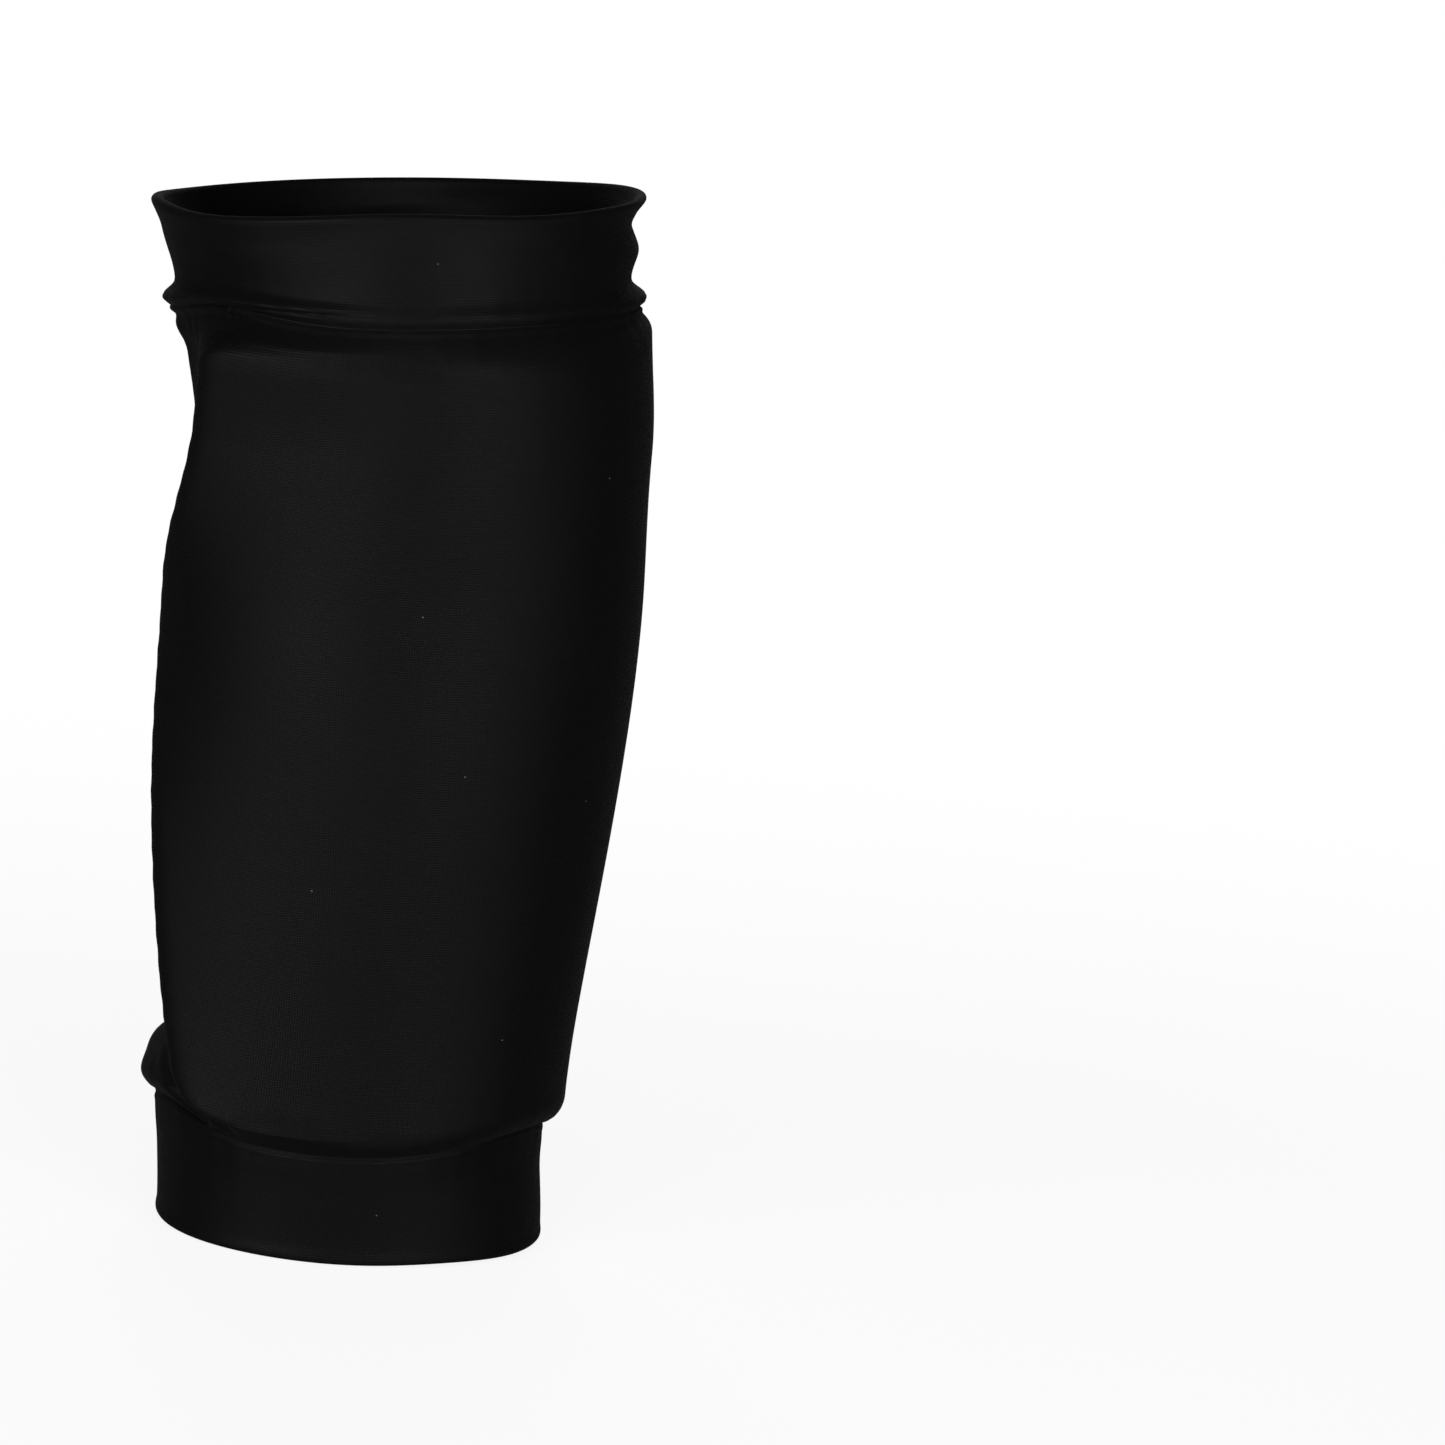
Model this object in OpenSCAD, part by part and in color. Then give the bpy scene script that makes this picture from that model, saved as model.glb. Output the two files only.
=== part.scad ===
// Pull-on shin guard: a stretch-knit sleeve with a foam pad sewn into its front,
// shown in its worn shape. It stands on its lower rim, with +Z up the shin,
// -Y out of the pad's front and +X to the viewer's right.

/* [Sleeve] */
// Height of the upper rim above the lower rim, on the centre line
sleeve_height = 265; // [240:1:290]
// Height of the doubled cuff round the calf
lower_cuff_height = 28.5; // [22:0.5:36]
// Height of the doubled cuff at the knee
upper_cuff_height = 26.5; // [22:0.5:36]
// Sideways slope of the upper cuff, in degrees
upper_tilt = 4.3; // [0:0.1:7]

/* [Leg form levels] */
// Drop from the upper seam to the widest part of the calf
calf_drop = 75.5; // [65:0.5:90]
// Drop from the upper seam to the narrow part under the knee
knee_drop = 35; // [22:0.5:45]

/* [Leg form widths] */
// Inside width of the lower rim
lower_rim_width = 94.5; // [84:0.5:102]
// Inside width at the lower seam
lower_seam_width = 93.5; // [84:0.5:102]
// Inside width at the widest part of the calf
calf_width = 109.5; // [100:0.5:120]
// Inside width under the knee
knee_width = 105.5; // [98:0.5:116]
// Inside width at the upper seam
upper_seam_width = 107.5; // [102:0.5:120]
// Inside width of the upper rim
upper_rim_width = 113.5; // [106:0.5:124]

/* [Leg form fronts] */
// Depth from the axis to the front of the lower rim
lower_rim_front = 43; // [40:0.5:50]
// Depth from the axis to the front of the lower seam
lower_seam_front = 46; // [41:0.5:51]
// Depth from the axis to the shin at the calf's widest part
calf_front = 52; // [47:0.5:57]
// Depth from the axis to the shin under the knee
knee_front = 54; // [49:0.5:59]
// Depth from the axis to the front of the upper seam
upper_seam_front = 55; // [50:0.5:60]
// Depth from the axis to the front of the upper rim
upper_rim_front = 53; // [52:0.5:62]

/* [Leg form backs] */
// Depth from the axis to the back of the lower rim
lower_rim_back = 46; // [41:0.5:51]
// Depth from the axis to the back of the lower seam
lower_seam_back = 49; // [44:0.5:54]
// Depth from the axis to the back of the calf
calf_back = 62; // [56:0.5:68]
// Depth from the axis to the hollow behind the knee
knee_back = 60; // [54:0.5:66]
// Depth from the axis to the back of the upper seam
upper_seam_back = 59; // [53:0.5:65]
// Depth from the axis to the back of the upper rim
upper_rim_back = 60; // [54:0.5:66]

/* [Leg form shifts] */
// Sideways place of the lower seam's centre
lower_seam_shift = -2.5; // [-5:0.1:3]
// Sideways place of the calf's centre
calf_shift = -2.2; // [-5:0.1:3]
// Sideways place of the centre under the knee
knee_shift = -1.9; // [-4:0.1:4]
// Sideways place of the upper seam's centre
upper_seam_shift = -5.2; // [-8:0.1:2]
// Sideways place of the upper rim's centre
upper_rim_shift = -10.4; // [-14:0.1:0]

/* [Pad] */
// Thickness of the foam on its centre line
foam_thickness = 8; // [5:0.5:12]
// Thickness of the foam near its sides
foam_side_thickness = 6; // [4:0.5:9]
// Thickness of the foam's blunt edge
foam_edge_thickness = 3; // [1.5:0.25:4]
// Width of the foam round the leg at its top
pad_top_width = 148; // [120:1:156]
// Width of the foam round the leg at the calf
pad_calf_width = 172; // [150:1:184]
// Width of the foam round the leg at its bottom
pad_bottom_width = 128; // [112:1:146]
// Corner radius at the foam's top
pad_top_corner = 6; // [4:0.5:18]
// Corner radius at the foam's bottom
pad_bottom_corner = 10; // [6:0.5:22]
// Width of the round-over along the foam's sides
pad_side_round = 9; // [5:0.5:14]
// Width of the round-over along the foam's bottom
pad_bottom_round = 8; // [5:0.5:14]
// Width of the bevel along the foam's top
pad_top_round = 15; // [8:0.5:22]
// Gap between the foam and each cuff's seam
pad_seam_gap = 6; // [4:0.1:8]
// Cloth past the foam's sides, to the side seams
pad_side_margin = 4; // [3.5:0.1:8]
// Turn of the pad's centre line round the leg, towards +X, in degrees
pad_turn = 5; // [-8:0.5:8]

/* [Cloth and seams] */
// Thickness of the stretch knit
cloth = 0.7; // [0.5:0.05:1]
// Thickness of the elastic inside the cuffs
elastic = 0.8; // [0.5:0.05:1.5]
// Thickness of a sewn and overlocked seam allowance
seam_thickness = 1.8; // [1.2:0.1:2.4]
// Half the width of a seam allowance
seam_half = 3; // [2:0.1:3.4]
// Clearance between layers and between sewn edges
gap = 0.15; // [0.1:0.01:0.2]
// Clearance between a seam allowance and the cloth over it
seam_clear = 0.45; // [0.3:0.01:0.5]
// Half the width of a cuff's closing seam
join_half = 3; // [2:0.1:5]

/* [Seam waves] */
// How far the lower seam rides up round the pad's right corner
lower_right_wave = 5.5; // [0:0.5:7]
// Angle from the front at which it does
lower_right_turn = 44; // [20:1:60]
// Half the angle that this wave covers
lower_right_half = 36; // [15:1:45]
// How far the lower seam rides up round the pad's left corner
lower_left_wave = 5; // [0:0.5:7]
// Angle from the front at which it does
lower_left_turn = -82; // [-95:1:-60]
// Half the angle that this wave covers
lower_left_half = 26; // [15:1:45]
// How far the upper seam rides up beside the pad
upper_wave = 3.5; // [0:0.5:6]
// Angle from the front at which the upper seam rides up
upper_wave_turn = -66; // [-80:1:-20]
// Half the angle that the upper seam's wave covers
upper_wave_half = 24; // [15:1:45]
// Distance into the body over which the cloth goes along with a seam's wave
wave_reach = 45; // [30:1:60]

/* [Folds] */
// How far the upper rim flares
rim_flare = 2; // [0:0.1:4]
// Height of the flared part of the rim
rim_flare_height = 8; // [4:0.5:12]
// How far the upper seam stands out from the leg, at its sides and back
seam_roll = 3.6; // [0:0.1:5]
// How far the upper seam stands out at the front
seam_roll_front = 1.2; // [0:0.1:5]
// Distance from the upper seam over which the cloth comes back in
seam_roll_reach = 6; // [4:0.5:9]
// How far the slack cloth bulges behind the pad's lower end
calf_fold = 9.5; // [0:0.1:11]
// Height of that fold above the lower seam
calf_fold_rise = 6; // [4:0.5:14]
// Half height of that fold
calf_fold_half = 7.5; // [3:0.1:9]

/* [Hidden] */

// Colours of the knit, the lining, the foam, the elastic and the overlocked edges.
knit_black = "#141416";
lining_black = "#1c1c20";
foam_grey = "#4a4c50";
elastic_black = "#26262a";
thread_black = "#202024";

// Levels up the sleeve.
lower_seam_z = lower_cuff_height;
upper_seam_z = sleeve_height - upper_cuff_height;
calf_z = upper_seam_z - calf_drop;
knee_z = upper_seam_z - knee_drop;
foam_low_z = lower_seam_z + pad_seam_gap;
foam_high_z = upper_seam_z - pad_seam_gap;

// Offsets of the cuff's four cloth faces from the leg, inside to outside.
cuff_inner_back = cloth;
cuff_outer_back = cloth + elastic + 3 * gap;
cuff_face = cuff_outer_back + cloth;
// Offset of a cloth edge that lies over a seam allowance.
seam_lift = gap + seam_thickness + seam_clear;
// Share of the upper seam's roll that its allowance follows.
seam_roll_share = 0.8;
// Distance over which a lifted cloth comes back down to the leg.
settle = 9;
// Clearance of a cloth edge from the allowance that it stops at.
seam_stop = seam_half + 2 * gap;
// Clearances of a cuff's elastic from the seam and from the rim.
elastic_seam_gap = seam_stop + 2;
elastic_rim_gap = 2;

// Height over the foam's bottom edge of the rows that follow its corners and the slack fold.
low_zone = 22;

// Counts of the faces round a ring, across the back panel and up the pad.
ring_steps = 42;
ring_turn = 360 / ring_steps;
back_steps = 16;
pad_middle_rows = 8;

// Leg form stations: level, half width, sideways shift, front depth, back depth.
stations = [
    [0, lower_rim_width / 2, 0, lower_rim_front, lower_rim_back],
    [lower_seam_z, lower_seam_width / 2, lower_seam_shift, lower_seam_front, lower_seam_back],
    [calf_z, calf_width / 2, calf_shift, calf_front, calf_back],
    [knee_z, knee_width / 2, knee_shift, knee_front, knee_back],
    [upper_seam_z, upper_seam_width / 2, upper_seam_shift, upper_seam_front, upper_seam_back],
    [sleeve_height, upper_rim_width / 2, upper_rim_shift, upper_rim_front, upper_rim_back]
];

// Smooth step from 0 to 1 as t goes from 0 to 1.
function ease(t) = (1 - cos(180 * min(1, max(0, t)))) / 2;
function mix(a, b, t) = a + (b - a) * t;

// One column of the stations at a level, eased from one station to the next.
function leg(z, column, i = 0) =
    i == len(stations) - 2 || z <= stations[i + 1][0]
        ? mix(stations[i][column], stations[i + 1][column],
              ease((z - stations[i][0]) / (stations[i + 1][0] - stations[i][0])))
        : leg(z, column, i + 1);

// Mean radius of the leg's front half at a level, which turns a width into an angle.
function leg_radius(z) = (leg(z, 1) + leg(z, 3)) / 2;
function to_angle(width, z) = width / leg_radius(z) * 180 / PI;

// Share of a seam's wave at an angle round the leg.
function wave(angle, turn, half) =
    let (away = (angle - turn + 540) % 360 - 180) exp(-((away / half) ^ 2));

// How far the cloth at a level rides up with the waves of the two seams.
function ride(angle, z) =
    let (
        low = z < lower_seam_z
            ? ease(z / lower_seam_z)
            : 1 - ease((z - lower_seam_z) / wave_reach),
        high = z > upper_seam_z
            ? 1 - ease((z - upper_seam_z) / upper_cuff_height)
            : 1 - ease((upper_seam_z - z) / wave_reach)
    )
    low * lower_right_wave * wave(angle, lower_right_turn, lower_right_half)
    + low * lower_left_wave * wave(angle, lower_left_turn, lower_left_half)
    + high * upper_wave * wave(angle, upper_wave_turn, upper_wave_half);

// A point on the leg form: angle from the front towards +X, level, outward offset.
function place(angle, z, off) =
    let (
        half = leg(z, 1),
        deep = leg(z, cos(angle) > 0 ? 3 : 4),
        way = [sin(angle) / half, -cos(angle) / deep],
        out = way / norm(way) * off,
        across = half * sin(angle) + out[0],
        tilt = tan(upper_tilt) * ease((z - calf_z) / (upper_seam_z - calf_z))
    )
    [leg(z, 2) + across, out[1] - deep * cos(angle), z + across * tilt + ride(angle, z)];

// A point on the front of the leg form, by its distance from the pad's centre line.
function place_across(width, z, off) = place(pad_turn + to_angle(width, z), z, off);

// Sweeps a list of closed outlines into a solid. Point k of an outline lies
// opposite point n - 1 - k, so the end caps are strips of quads, and the quads
// of both faces are split along the same diagonal.
module sweep(outlines, closed = false) {
    n = len(outlines[0]);
    last = len(outlines) - 1;
    wall = [
        for (i = [0 : closed ? last : last - 1], k = [0 : n - 1])
            let (j = (i + 1) % (last + 1), m = (k + 1) % n)
            each k < n / 2
                ? [[i * n + k, j * n + m, i * n + m], [i * n + k, j * n + k, j * n + m]]
                : [[i * n + k, j * n + k, i * n + m], [i * n + m, j * n + k, j * n + m]]
    ];
    caps = closed ? [] : [
        for (k = [0 : n / 2 - 2])
            each [
                [k, n - 2 - k, n - 1 - k],
                [k, k + 1, n - 2 - k],
                [last * n + k, last * n + n - 2 - k, last * n + k + 1],
                [last * n + k, last * n + n - 1 - k, last * n + n - 2 - k]
            ]
    ];
    polyhedron([for (outline = outlines) each outline], concat(wall, caps), convexity = 10);
}

function reversed(list) = [for (i = [len(list) - 1 : -1 : 0]) list[i]];

// How far the upper seam stands out at an angle, and the share of it at a distance from the seam.
function roll_height(angle) = mix(seam_roll_front, seam_roll, ease((0.9 - cos(angle)) * 2));
function roll_share(distance) = 1 - ease(abs(distance) / seam_roll_reach);

// Shape of the foam

// Inset of a rounded corner at a distance from the edge that it rounds.
function corner_inset(distance, radius) =
    distance >= radius ? 0 : radius - sqrt(radius ^ 2 - (radius - max(0, distance)) ^ 2);

// Half the pad's width at a level, before its corners are rounded.
function panel_half(z) =
    z > calf_z
        ? mix(pad_calf_width, pad_top_width, ((z - calf_z) / (foam_high_z - calf_z)) ^ 2) / 2
        : mix(pad_calf_width, pad_bottom_width, ((calf_z - z) / (calf_z - foam_low_z)) ^ 2) / 2;

function foam_half(z) =
    panel_half(z) - corner_inset(z - foam_low_z, pad_bottom_corner)
                  - corner_inset(foam_high_z - z, pad_top_corner);

// Distance round the leg from the pad's centre line to the side seams.
function side_seam(z) = panel_half(z) + pad_side_margin;

// Round-over of an edge: 0 on the edge, 1 at the full width of the round.
function round_over(distance, width) =
    let (left = 1 - min(1, max(0, distance) / width)) sqrt(1 - left ^ 2);

// Thickness of the foam at a share of its half width and a level.
function foam_at(share, z) =
    let (
        full = mix(foam_thickness, foam_side_thickness, share ^ 2),
        rise = round_over((1 - abs(share)) * foam_half(z), pad_side_round)
             * round_over(z - foam_low_z, pad_bottom_round)
             * round_over(foam_high_z - z, pad_top_round)
    )
    mix(foam_edge_thickness, full, rise);

// Columns across the foam, closer together at the round-overs.
edge_shares = [1, 0.97, 0.925, 0.86];
middle_step = 0.13;
foam_shares = concat(
    -edge_shares,
    [for (i = [-6 : 6]) i * middle_step],
    reversed(edge_shares)
);

// Rows up the foam, closer together at its bottom corners and its top bevel.
low_rows = [for (t = [0, 0.07, 0.18, 0.36, 0.62, 1]) foam_low_z + t * low_zone];
high_rows = [for (t = [1, 0.6, 0.3, 0.1, 0]) foam_high_z - t * pad_top_round];
foam_rows = concat(
    low_rows,
    [for (i = [1 : pad_middle_rows])
        mix(low_rows[5], high_rows[0], i / (pad_middle_rows + 1))],
    high_rows
);

// Rows of the cloths that reach the cuffs' seam lines, and of those that stop at the allowances.
cloth_rows = concat([lower_seam_z + gap], foam_rows, [upper_seam_z - gap]);
inner_rows = concat([lower_seam_z + seam_stop], foam_rows, [upper_seam_z - seam_stop]);

// Distances across the pad of a cloth that reaches past the foam to an edge.
margin_shares = [0.25, 0.5, 0.75];
function pad_widths(z, edge) =
    let (
        half = foam_half(min(foam_high_z, max(foam_low_z, z))),
        margin = [for (t = margin_shares) mix(half, edge, t)]
    )
    concat([-edge], reversed(-margin), foam_shares * half, margin, [edge]);

// The pad's cloths

// Outline of a layer across the pad at one level: its outer face, then its inner face.
function pad_outline(widths, z, outers, inners) = concat(
    [for (i = [0 : len(widths) - 1]) place_across(widths[i], z, outers[i])],
    [for (i = [len(widths) - 1 : -1 : 0]) place_across(widths[i], z, inners[i])]
);

module foam_pad() {
    base = cloth + gap;
    color(foam_grey) sweep([
        for (z = foam_rows)
            pad_outline(
                foam_shares * foam_half(z), z,
                [for (share = foam_shares) base + foam_at(share, z)],
                [for (share = foam_shares) base]
            )
    ]);
}

// The lining lies between the foam and the leg, and stops at the seam allowances.
module pad_lining() {
    color(lining_black) sweep([
        for (z = inner_rows)
            let (widths = pad_widths(z, side_seam(z) - seam_half / 2 - 2 * gap))
            pad_outline(widths, z, [for (w = widths) cloth], [for (w = widths) 0])
    ]);
}

// Height of the cover's inner face over the leg at a distance round the leg.
function cover_at(width, z) =
    let (
        half = foam_half(min(foam_high_z, max(foam_low_z, z))),
        on_foam = z >= foam_low_z && z <= foam_high_z,
        over = cloth + 2 * gap,
        outside = (abs(width) - half) / (side_seam(z) - gap - half)
    )
    roll_height(pad_turn + to_angle(width, z)) * roll_share(upper_seam_z - z) + (
        !on_foam ? seam_lift
        : outside <= 0 ? over + foam_at(width / half, z)
        : mix(over + foam_edge_thickness, seam_lift, outside)
    );

// The cover drapes over the foam, then runs down to the seams all round it.
module front_cover() {
    color(knit_black) sweep([
        for (z = cloth_rows)
            let (
                widths = pad_widths(z, side_seam(z) - gap),
                inners = [for (w = widths) cover_at(w, z)]
            )
            pad_outline(widths, z, [for (off = inners) off + cloth], inners)
    ]);
}

// The back panel

// Share of the seam's lift that is left at a distance from a seam line.
function lifted(distance) = 1 - ease((distance - seam_stop) / settle);

// The slack fold over the lower cuff, fullest at the wearer's outer side.
function slack_fold(angle, z) =
    let (
        rise = (z - lower_seam_z - calf_fold_rise) / calf_fold_half,
        turn = mix(0.5, 1, (1 - sin(angle)) / 2)
    )
    calf_fold * turn * exp(-(abs(rise) ^ 3));

function back_offset(angle, z, from_side) =
    let (
        low = lifted(z - lower_seam_z),
        high = lifted(upper_seam_z - z),
        side = lifted(from_side)
    )
    seam_lift * (1 - (1 - low) * (1 - high) * (1 - side))
    + slack_fold(angle, z) * (1 - low) * (1 - side)
    + roll_height(angle) * roll_share(upper_seam_z - z);

// Distances from a side seam of the columns that follow the lifted cloth.
seam_columns = [0, 0.5, 1, 1.6, 2.4, 3.4, 5];

module back_panel() {
    color(knit_black) sweep([
        for (z = cloth_rows)
            let (
                radius = leg_radius(z),
                start = to_angle(side_seam(z) + gap, z),
                near = [for (d = seam_columns) start + to_angle(d * seam_half, z)],
                far = reversed([for (angle = near) 360 - angle]),
                middle = [
                    for (i = [1 : back_steps - 1])
                        mix(near[len(near) - 1], far[0], i / back_steps)
                ],
                angles = concat(near, middle, far),
                inners = [
                    for (angle = angles)
                        back_offset(pad_turn + angle, z,
                                    (180 - abs(180 - angle) - start) * PI / 180 * radius)
                ]
            )
            concat(
                [for (i = [0 : len(angles) - 1])
                    place(pad_turn + angles[i], z, inners[i] + cloth)],
                [for (i = [len(angles) - 1 : -1 : 0])
                    place(pad_turn + angles[i], z, inners[i])]
            )
    ]);
}

// Seam allowances

// A strip of overlocked allowance under the edges of the cover and the back panel.
module side_seam_strip(side) {
    places = [-0.5, 0.6, 1.7] * seam_half;
    strip = [
        for (z = inner_rows)
            concat(
                [for (p = places) place_across(side * (side_seam(z) + p), z, gap + seam_thickness)],
                [for (p = reversed(places)) place_across(side * (side_seam(z) + p), z, gap)]
            )
    ];
    color(thread_black) sweep(side > 0 ? strip : reversed(strip));
}

// A ring of overlocked allowance under the edges that meet at a cuff's seam.
// It stands out with the upper seam, a little less than the cloth over it.
module seam_ring(level) {
    share = level == upper_seam_z ? seam_roll_share : 0;
    outline = [
        [gap, -seam_half], [gap + seam_thickness * 0.6, -seam_half],
        [gap + seam_thickness, -seam_half * 0.4], [gap + seam_thickness, seam_half * 0.4],
        [gap + seam_thickness * 0.6, seam_half], [gap, seam_half]
    ];
    color(thread_black) sweep([
        for (i = [0 : ring_steps - 1])
            [for (p = reversed(outline))
                let (roll = share * roll_height(i * ring_turn) * roll_share(p[1]))
                place(i * ring_turn, level + p[1], p[0] + roll)]
    ], closed = true);
}

// Cuffs

// Extra offset of the upper cuff where it flares at the rim.
function flare_at(z) = rim_flare * ease((z - sleeve_height + rim_flare_height) / rim_flare_height);
// Extra offset of the cuff's outer cloth where it lies over the allowance.
function cuff_lift(rise) =
    mix(seam_lift - cuff_outer_back, 0, ease((rise - seam_stop) / settle));

// Levels above the seam that the cuff's cloths share with the elastic between them.
function band_rises(height) = [
    for (t = [0, 0.35, 0.7]) mix(elastic_seam_gap, height - elastic_rim_gap, t)
];

// Turns round the fold at a cuff's rim.
fold_turns = [45, 75, 105, 135];

// Section of a doubled cuff: up the face from the seam, over the fold at the
// rim and down the inside. Each point is a rise from the seam and an offset.
// The face stands out by roll at the seam.
function cuff_section(height, roll) =
    let (
        bend = cuff_face / 2,
        straight = height - bend,
        low = concat([gap, seam_stop / 2, seam_stop], band_rises(height)),
        rises = concat(low, [straight]),
        lift = [for (r = rises) cuff_lift(r) + roll * roll_share(r)],
        inner_rises = concat([seam_stop], band_rises(height), [straight])
    )
    concat(
        [for (i = [0 : len(rises) - 1]) [rises[i], cuff_face + lift[i]]],
        [for (turn = fold_turns) [straight + bend * sin(turn), bend + bend * cos(turn)]],
        [for (r = reversed(inner_rises)) [r, 0]],
        [for (r = inner_rises) [r, cuff_inner_back]],
        [[height - cloth, bend]],
        [for (i = [len(rises) - 1 : -1 : 0]) [rises[i], cuff_outer_back + lift[i]]]
    );

module upper_cuff() {
    color(knit_black) sweep([
        for (i = [0 : ring_steps - 1])
            [for (p = reversed(cuff_section(upper_cuff_height, roll_height(i * ring_turn))))
                let (z = upper_seam_z + p[0]) place(i * ring_turn, z, p[1] + flare_at(z))]
    ], closed = true);
}

// The lower cuff hangs from its seam, and its fold is cut flat where it stands.
module lower_cuff() {
    section = cuff_section(lower_cuff_height, 0);
    foot = cuff_face / 2 * (1 - sin(fold_turns[1]));
    color(knit_black) sweep([
        for (i = [0 : ring_steps - 1])
            [for (p = section)
                let (z = lower_seam_z - p[0])
                place(i * ring_turn, z < foot * 1.5 ? 0 : z, p[1])]
    ], closed = true);
}

// A band between a cuff's two cloths, through a list of angles and a list of levels.
module cuff_band(levels, angles, flare) {
    inside = cuff_inner_back + gap;
    outside = inside + elastic;
    sweep([
        for (angle = angles)
            concat(
                [for (z = levels) place(angle, z, inside + (flare ? flare_at(z) : 0))],
                [for (z = reversed(levels)) place(angle, z, outside + (flare ? flare_at(z) : 0))]
            )
    ]);
}

// Angle at the back that half of a cuff's closing seam covers.
function join_angle(z, clear) = (join_half + clear) / leg(z, 1) * 180 / PI;

module cuff_elastic(levels, flare) {
    end = join_angle(levels[0], gap);
    first = ceil((180 + end) / ring_turn + 0.2);
    last = floor((540 - end) / ring_turn - 0.2);
    angles = concat([180 + end], [for (i = [first : last]) i * ring_turn], [540 - end]);
    color(elastic_black) cuff_band(levels, angles, flare);
}

module cuff_join(levels, flare) {
    half = join_angle(levels[0], 0);
    color(thread_black) cuff_band(levels, [180 - half, 180, 180 + half], flare);
}

// Levels of the bands inside the two cuffs, from low to high.
upper_band = concat(
    [for (r = band_rises(upper_cuff_height)) upper_seam_z + r],
    [sleeve_height - elastic_rim_gap]
);
lower_band = concat(
    [elastic_rim_gap],
    reversed([for (r = band_rises(lower_cuff_height)) lower_seam_z - r])
);

front_cover();
foam_pad();
pad_lining();
back_panel();
side_seam_strip(1);  // right_side_seam
side_seam_strip(-1);  // left_side_seam
upper_cuff();
cuff_elastic(upper_band, true);  // upper_cuff_elastic
cuff_join(upper_band, true);  // upper_cuff_join
seam_ring(upper_seam_z);  // upper_seam
lower_cuff();
cuff_elastic(lower_band, false);  // lower_cuff_elastic
cuff_join(lower_band, false);  // lower_cuff_join
seam_ring(lower_seam_z);  // lower_seam
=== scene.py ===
"""Finish of a pull-on shin guard: a stretch-knit sleeve with a foam pad sewn into its front.

Every layer is laid on one leg form, in metres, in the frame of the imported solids: the guard
stands on its lower rim, with +Z up the shin, -Y out of the pad's front and +X to the right.
"""

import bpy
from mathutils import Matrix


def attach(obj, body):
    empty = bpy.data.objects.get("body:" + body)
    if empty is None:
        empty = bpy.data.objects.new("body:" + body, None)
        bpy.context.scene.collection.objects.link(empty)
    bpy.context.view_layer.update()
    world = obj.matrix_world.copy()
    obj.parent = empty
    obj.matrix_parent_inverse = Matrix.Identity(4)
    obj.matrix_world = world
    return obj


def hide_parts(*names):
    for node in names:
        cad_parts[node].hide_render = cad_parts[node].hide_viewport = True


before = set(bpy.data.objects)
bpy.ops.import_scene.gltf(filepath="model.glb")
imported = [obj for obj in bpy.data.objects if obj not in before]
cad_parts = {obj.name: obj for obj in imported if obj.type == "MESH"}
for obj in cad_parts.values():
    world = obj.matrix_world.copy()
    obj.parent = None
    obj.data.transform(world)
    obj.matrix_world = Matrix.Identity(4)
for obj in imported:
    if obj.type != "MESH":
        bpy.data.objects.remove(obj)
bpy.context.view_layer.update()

import math

import bpy
import numpy as np
from mathutils import Matrix, Vector

bl_info = {
    "name": "Shin Guard Finish",
    "version": (1, 0, 0),
    "blender": (4, 5, 0),
    "location": "View3D > Sidebar > Shin Guard",
    "description": "Builds the cloths, foam, seams and stage of a pull-on shin guard",
    "category": "Object",
}

BODY = "root"
UV_NAME = "cloth"
MM = 0.001
PICTURE_SIDE = 1445
SMOOTH_ANGLE = math.radians(55)
# Half the gap that is left between two edges that are sewn together.
SEWN = 0.04 * MM
# Mean radii of the sleeve, which turn an angle round the leg into a length.
UPPER_RADIUS = 55 * MM
LOWER_RADIUS = 48 * MM
BACK_RADIUS = 58 * MM
PATTERN_RADIUS = 54 * MM
# Columns of the leg form's stations.
LEVEL, HALF, SHIFT, FRONT, BACK = range(5)
# Waves of the rims: share of the rim wave, middle and half angle in degrees.
UPPER_RIM_WAVES = ((1, -15, 20), (-0.9, -68, 22), (-0.5, 25, 20), (1.6, -98, 26), (1.2, 92, 26))
LOWER_RIM_WAVES = ((0.8, 16, 24),)
# Creases behind the knee: share of the depth, drop from the seam, wave, waves round the leg.
# Each is as wide as its wave.
KNEE_CREASES = ((1, 30 * MM, 4 * MM, 2), (0.8, 47 * MM, -5 * MM, 3))
# Rows and columns of the meshes, each with how far they crowd towards the edges.
FOAM_GRID = ((110, 0.8), (100, 0.75))
COVER_GRID = ((190, 0.86), (170, 0.84))
LINING_GRID = ((110, 0.7), (100, 0.7))
BACK_GRID = ((190, 0.8), (190, 0.8))
CUFF_FACE_ROWS, CUFF_COLUMNS = (64, 0.72), (289, 0.6)
# Rows and columns of the meshes with an even grid.
CUFF_INSIDE_ROWS, CUFF_FOLD_ROWS = 34, 15
ELASTIC_ROWS, ELASTIC_COLUMNS = 72, 180
JOIN_ROWS, JOIN_COLUMNS = 40, 9
SEAM_ACROSS, RING_COLUMNS, SIDE_SEAM_ROWS = 13, 217, 120
# Points of thread in one overlock stitch, and sides of the thread.
STITCH_STEPS, THREAD_SIDES = 12, 6


# Property helpers

def length(name, text, size):
    """A length, given in millimetres and held in metres."""
    return bpy.props.FloatProperty(
        name=name, description=text, default=size * MM, unit="LENGTH", precision=5)


def turn(name, text, degrees):
    """An angle, given in degrees and held in radians."""
    return bpy.props.FloatProperty(
        name=name, description=text, default=math.radians(degrees), subtype="ANGLE")


def share(name, text, value):
    """A factor from 0 to 1."""
    return bpy.props.FloatProperty(
        name=name, description=text, default=value, min=0, max=1, subtype="FACTOR")


def number(name, text, value):
    """A plain number."""
    return bpy.props.FloatProperty(name=name, description=text, default=value)


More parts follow.
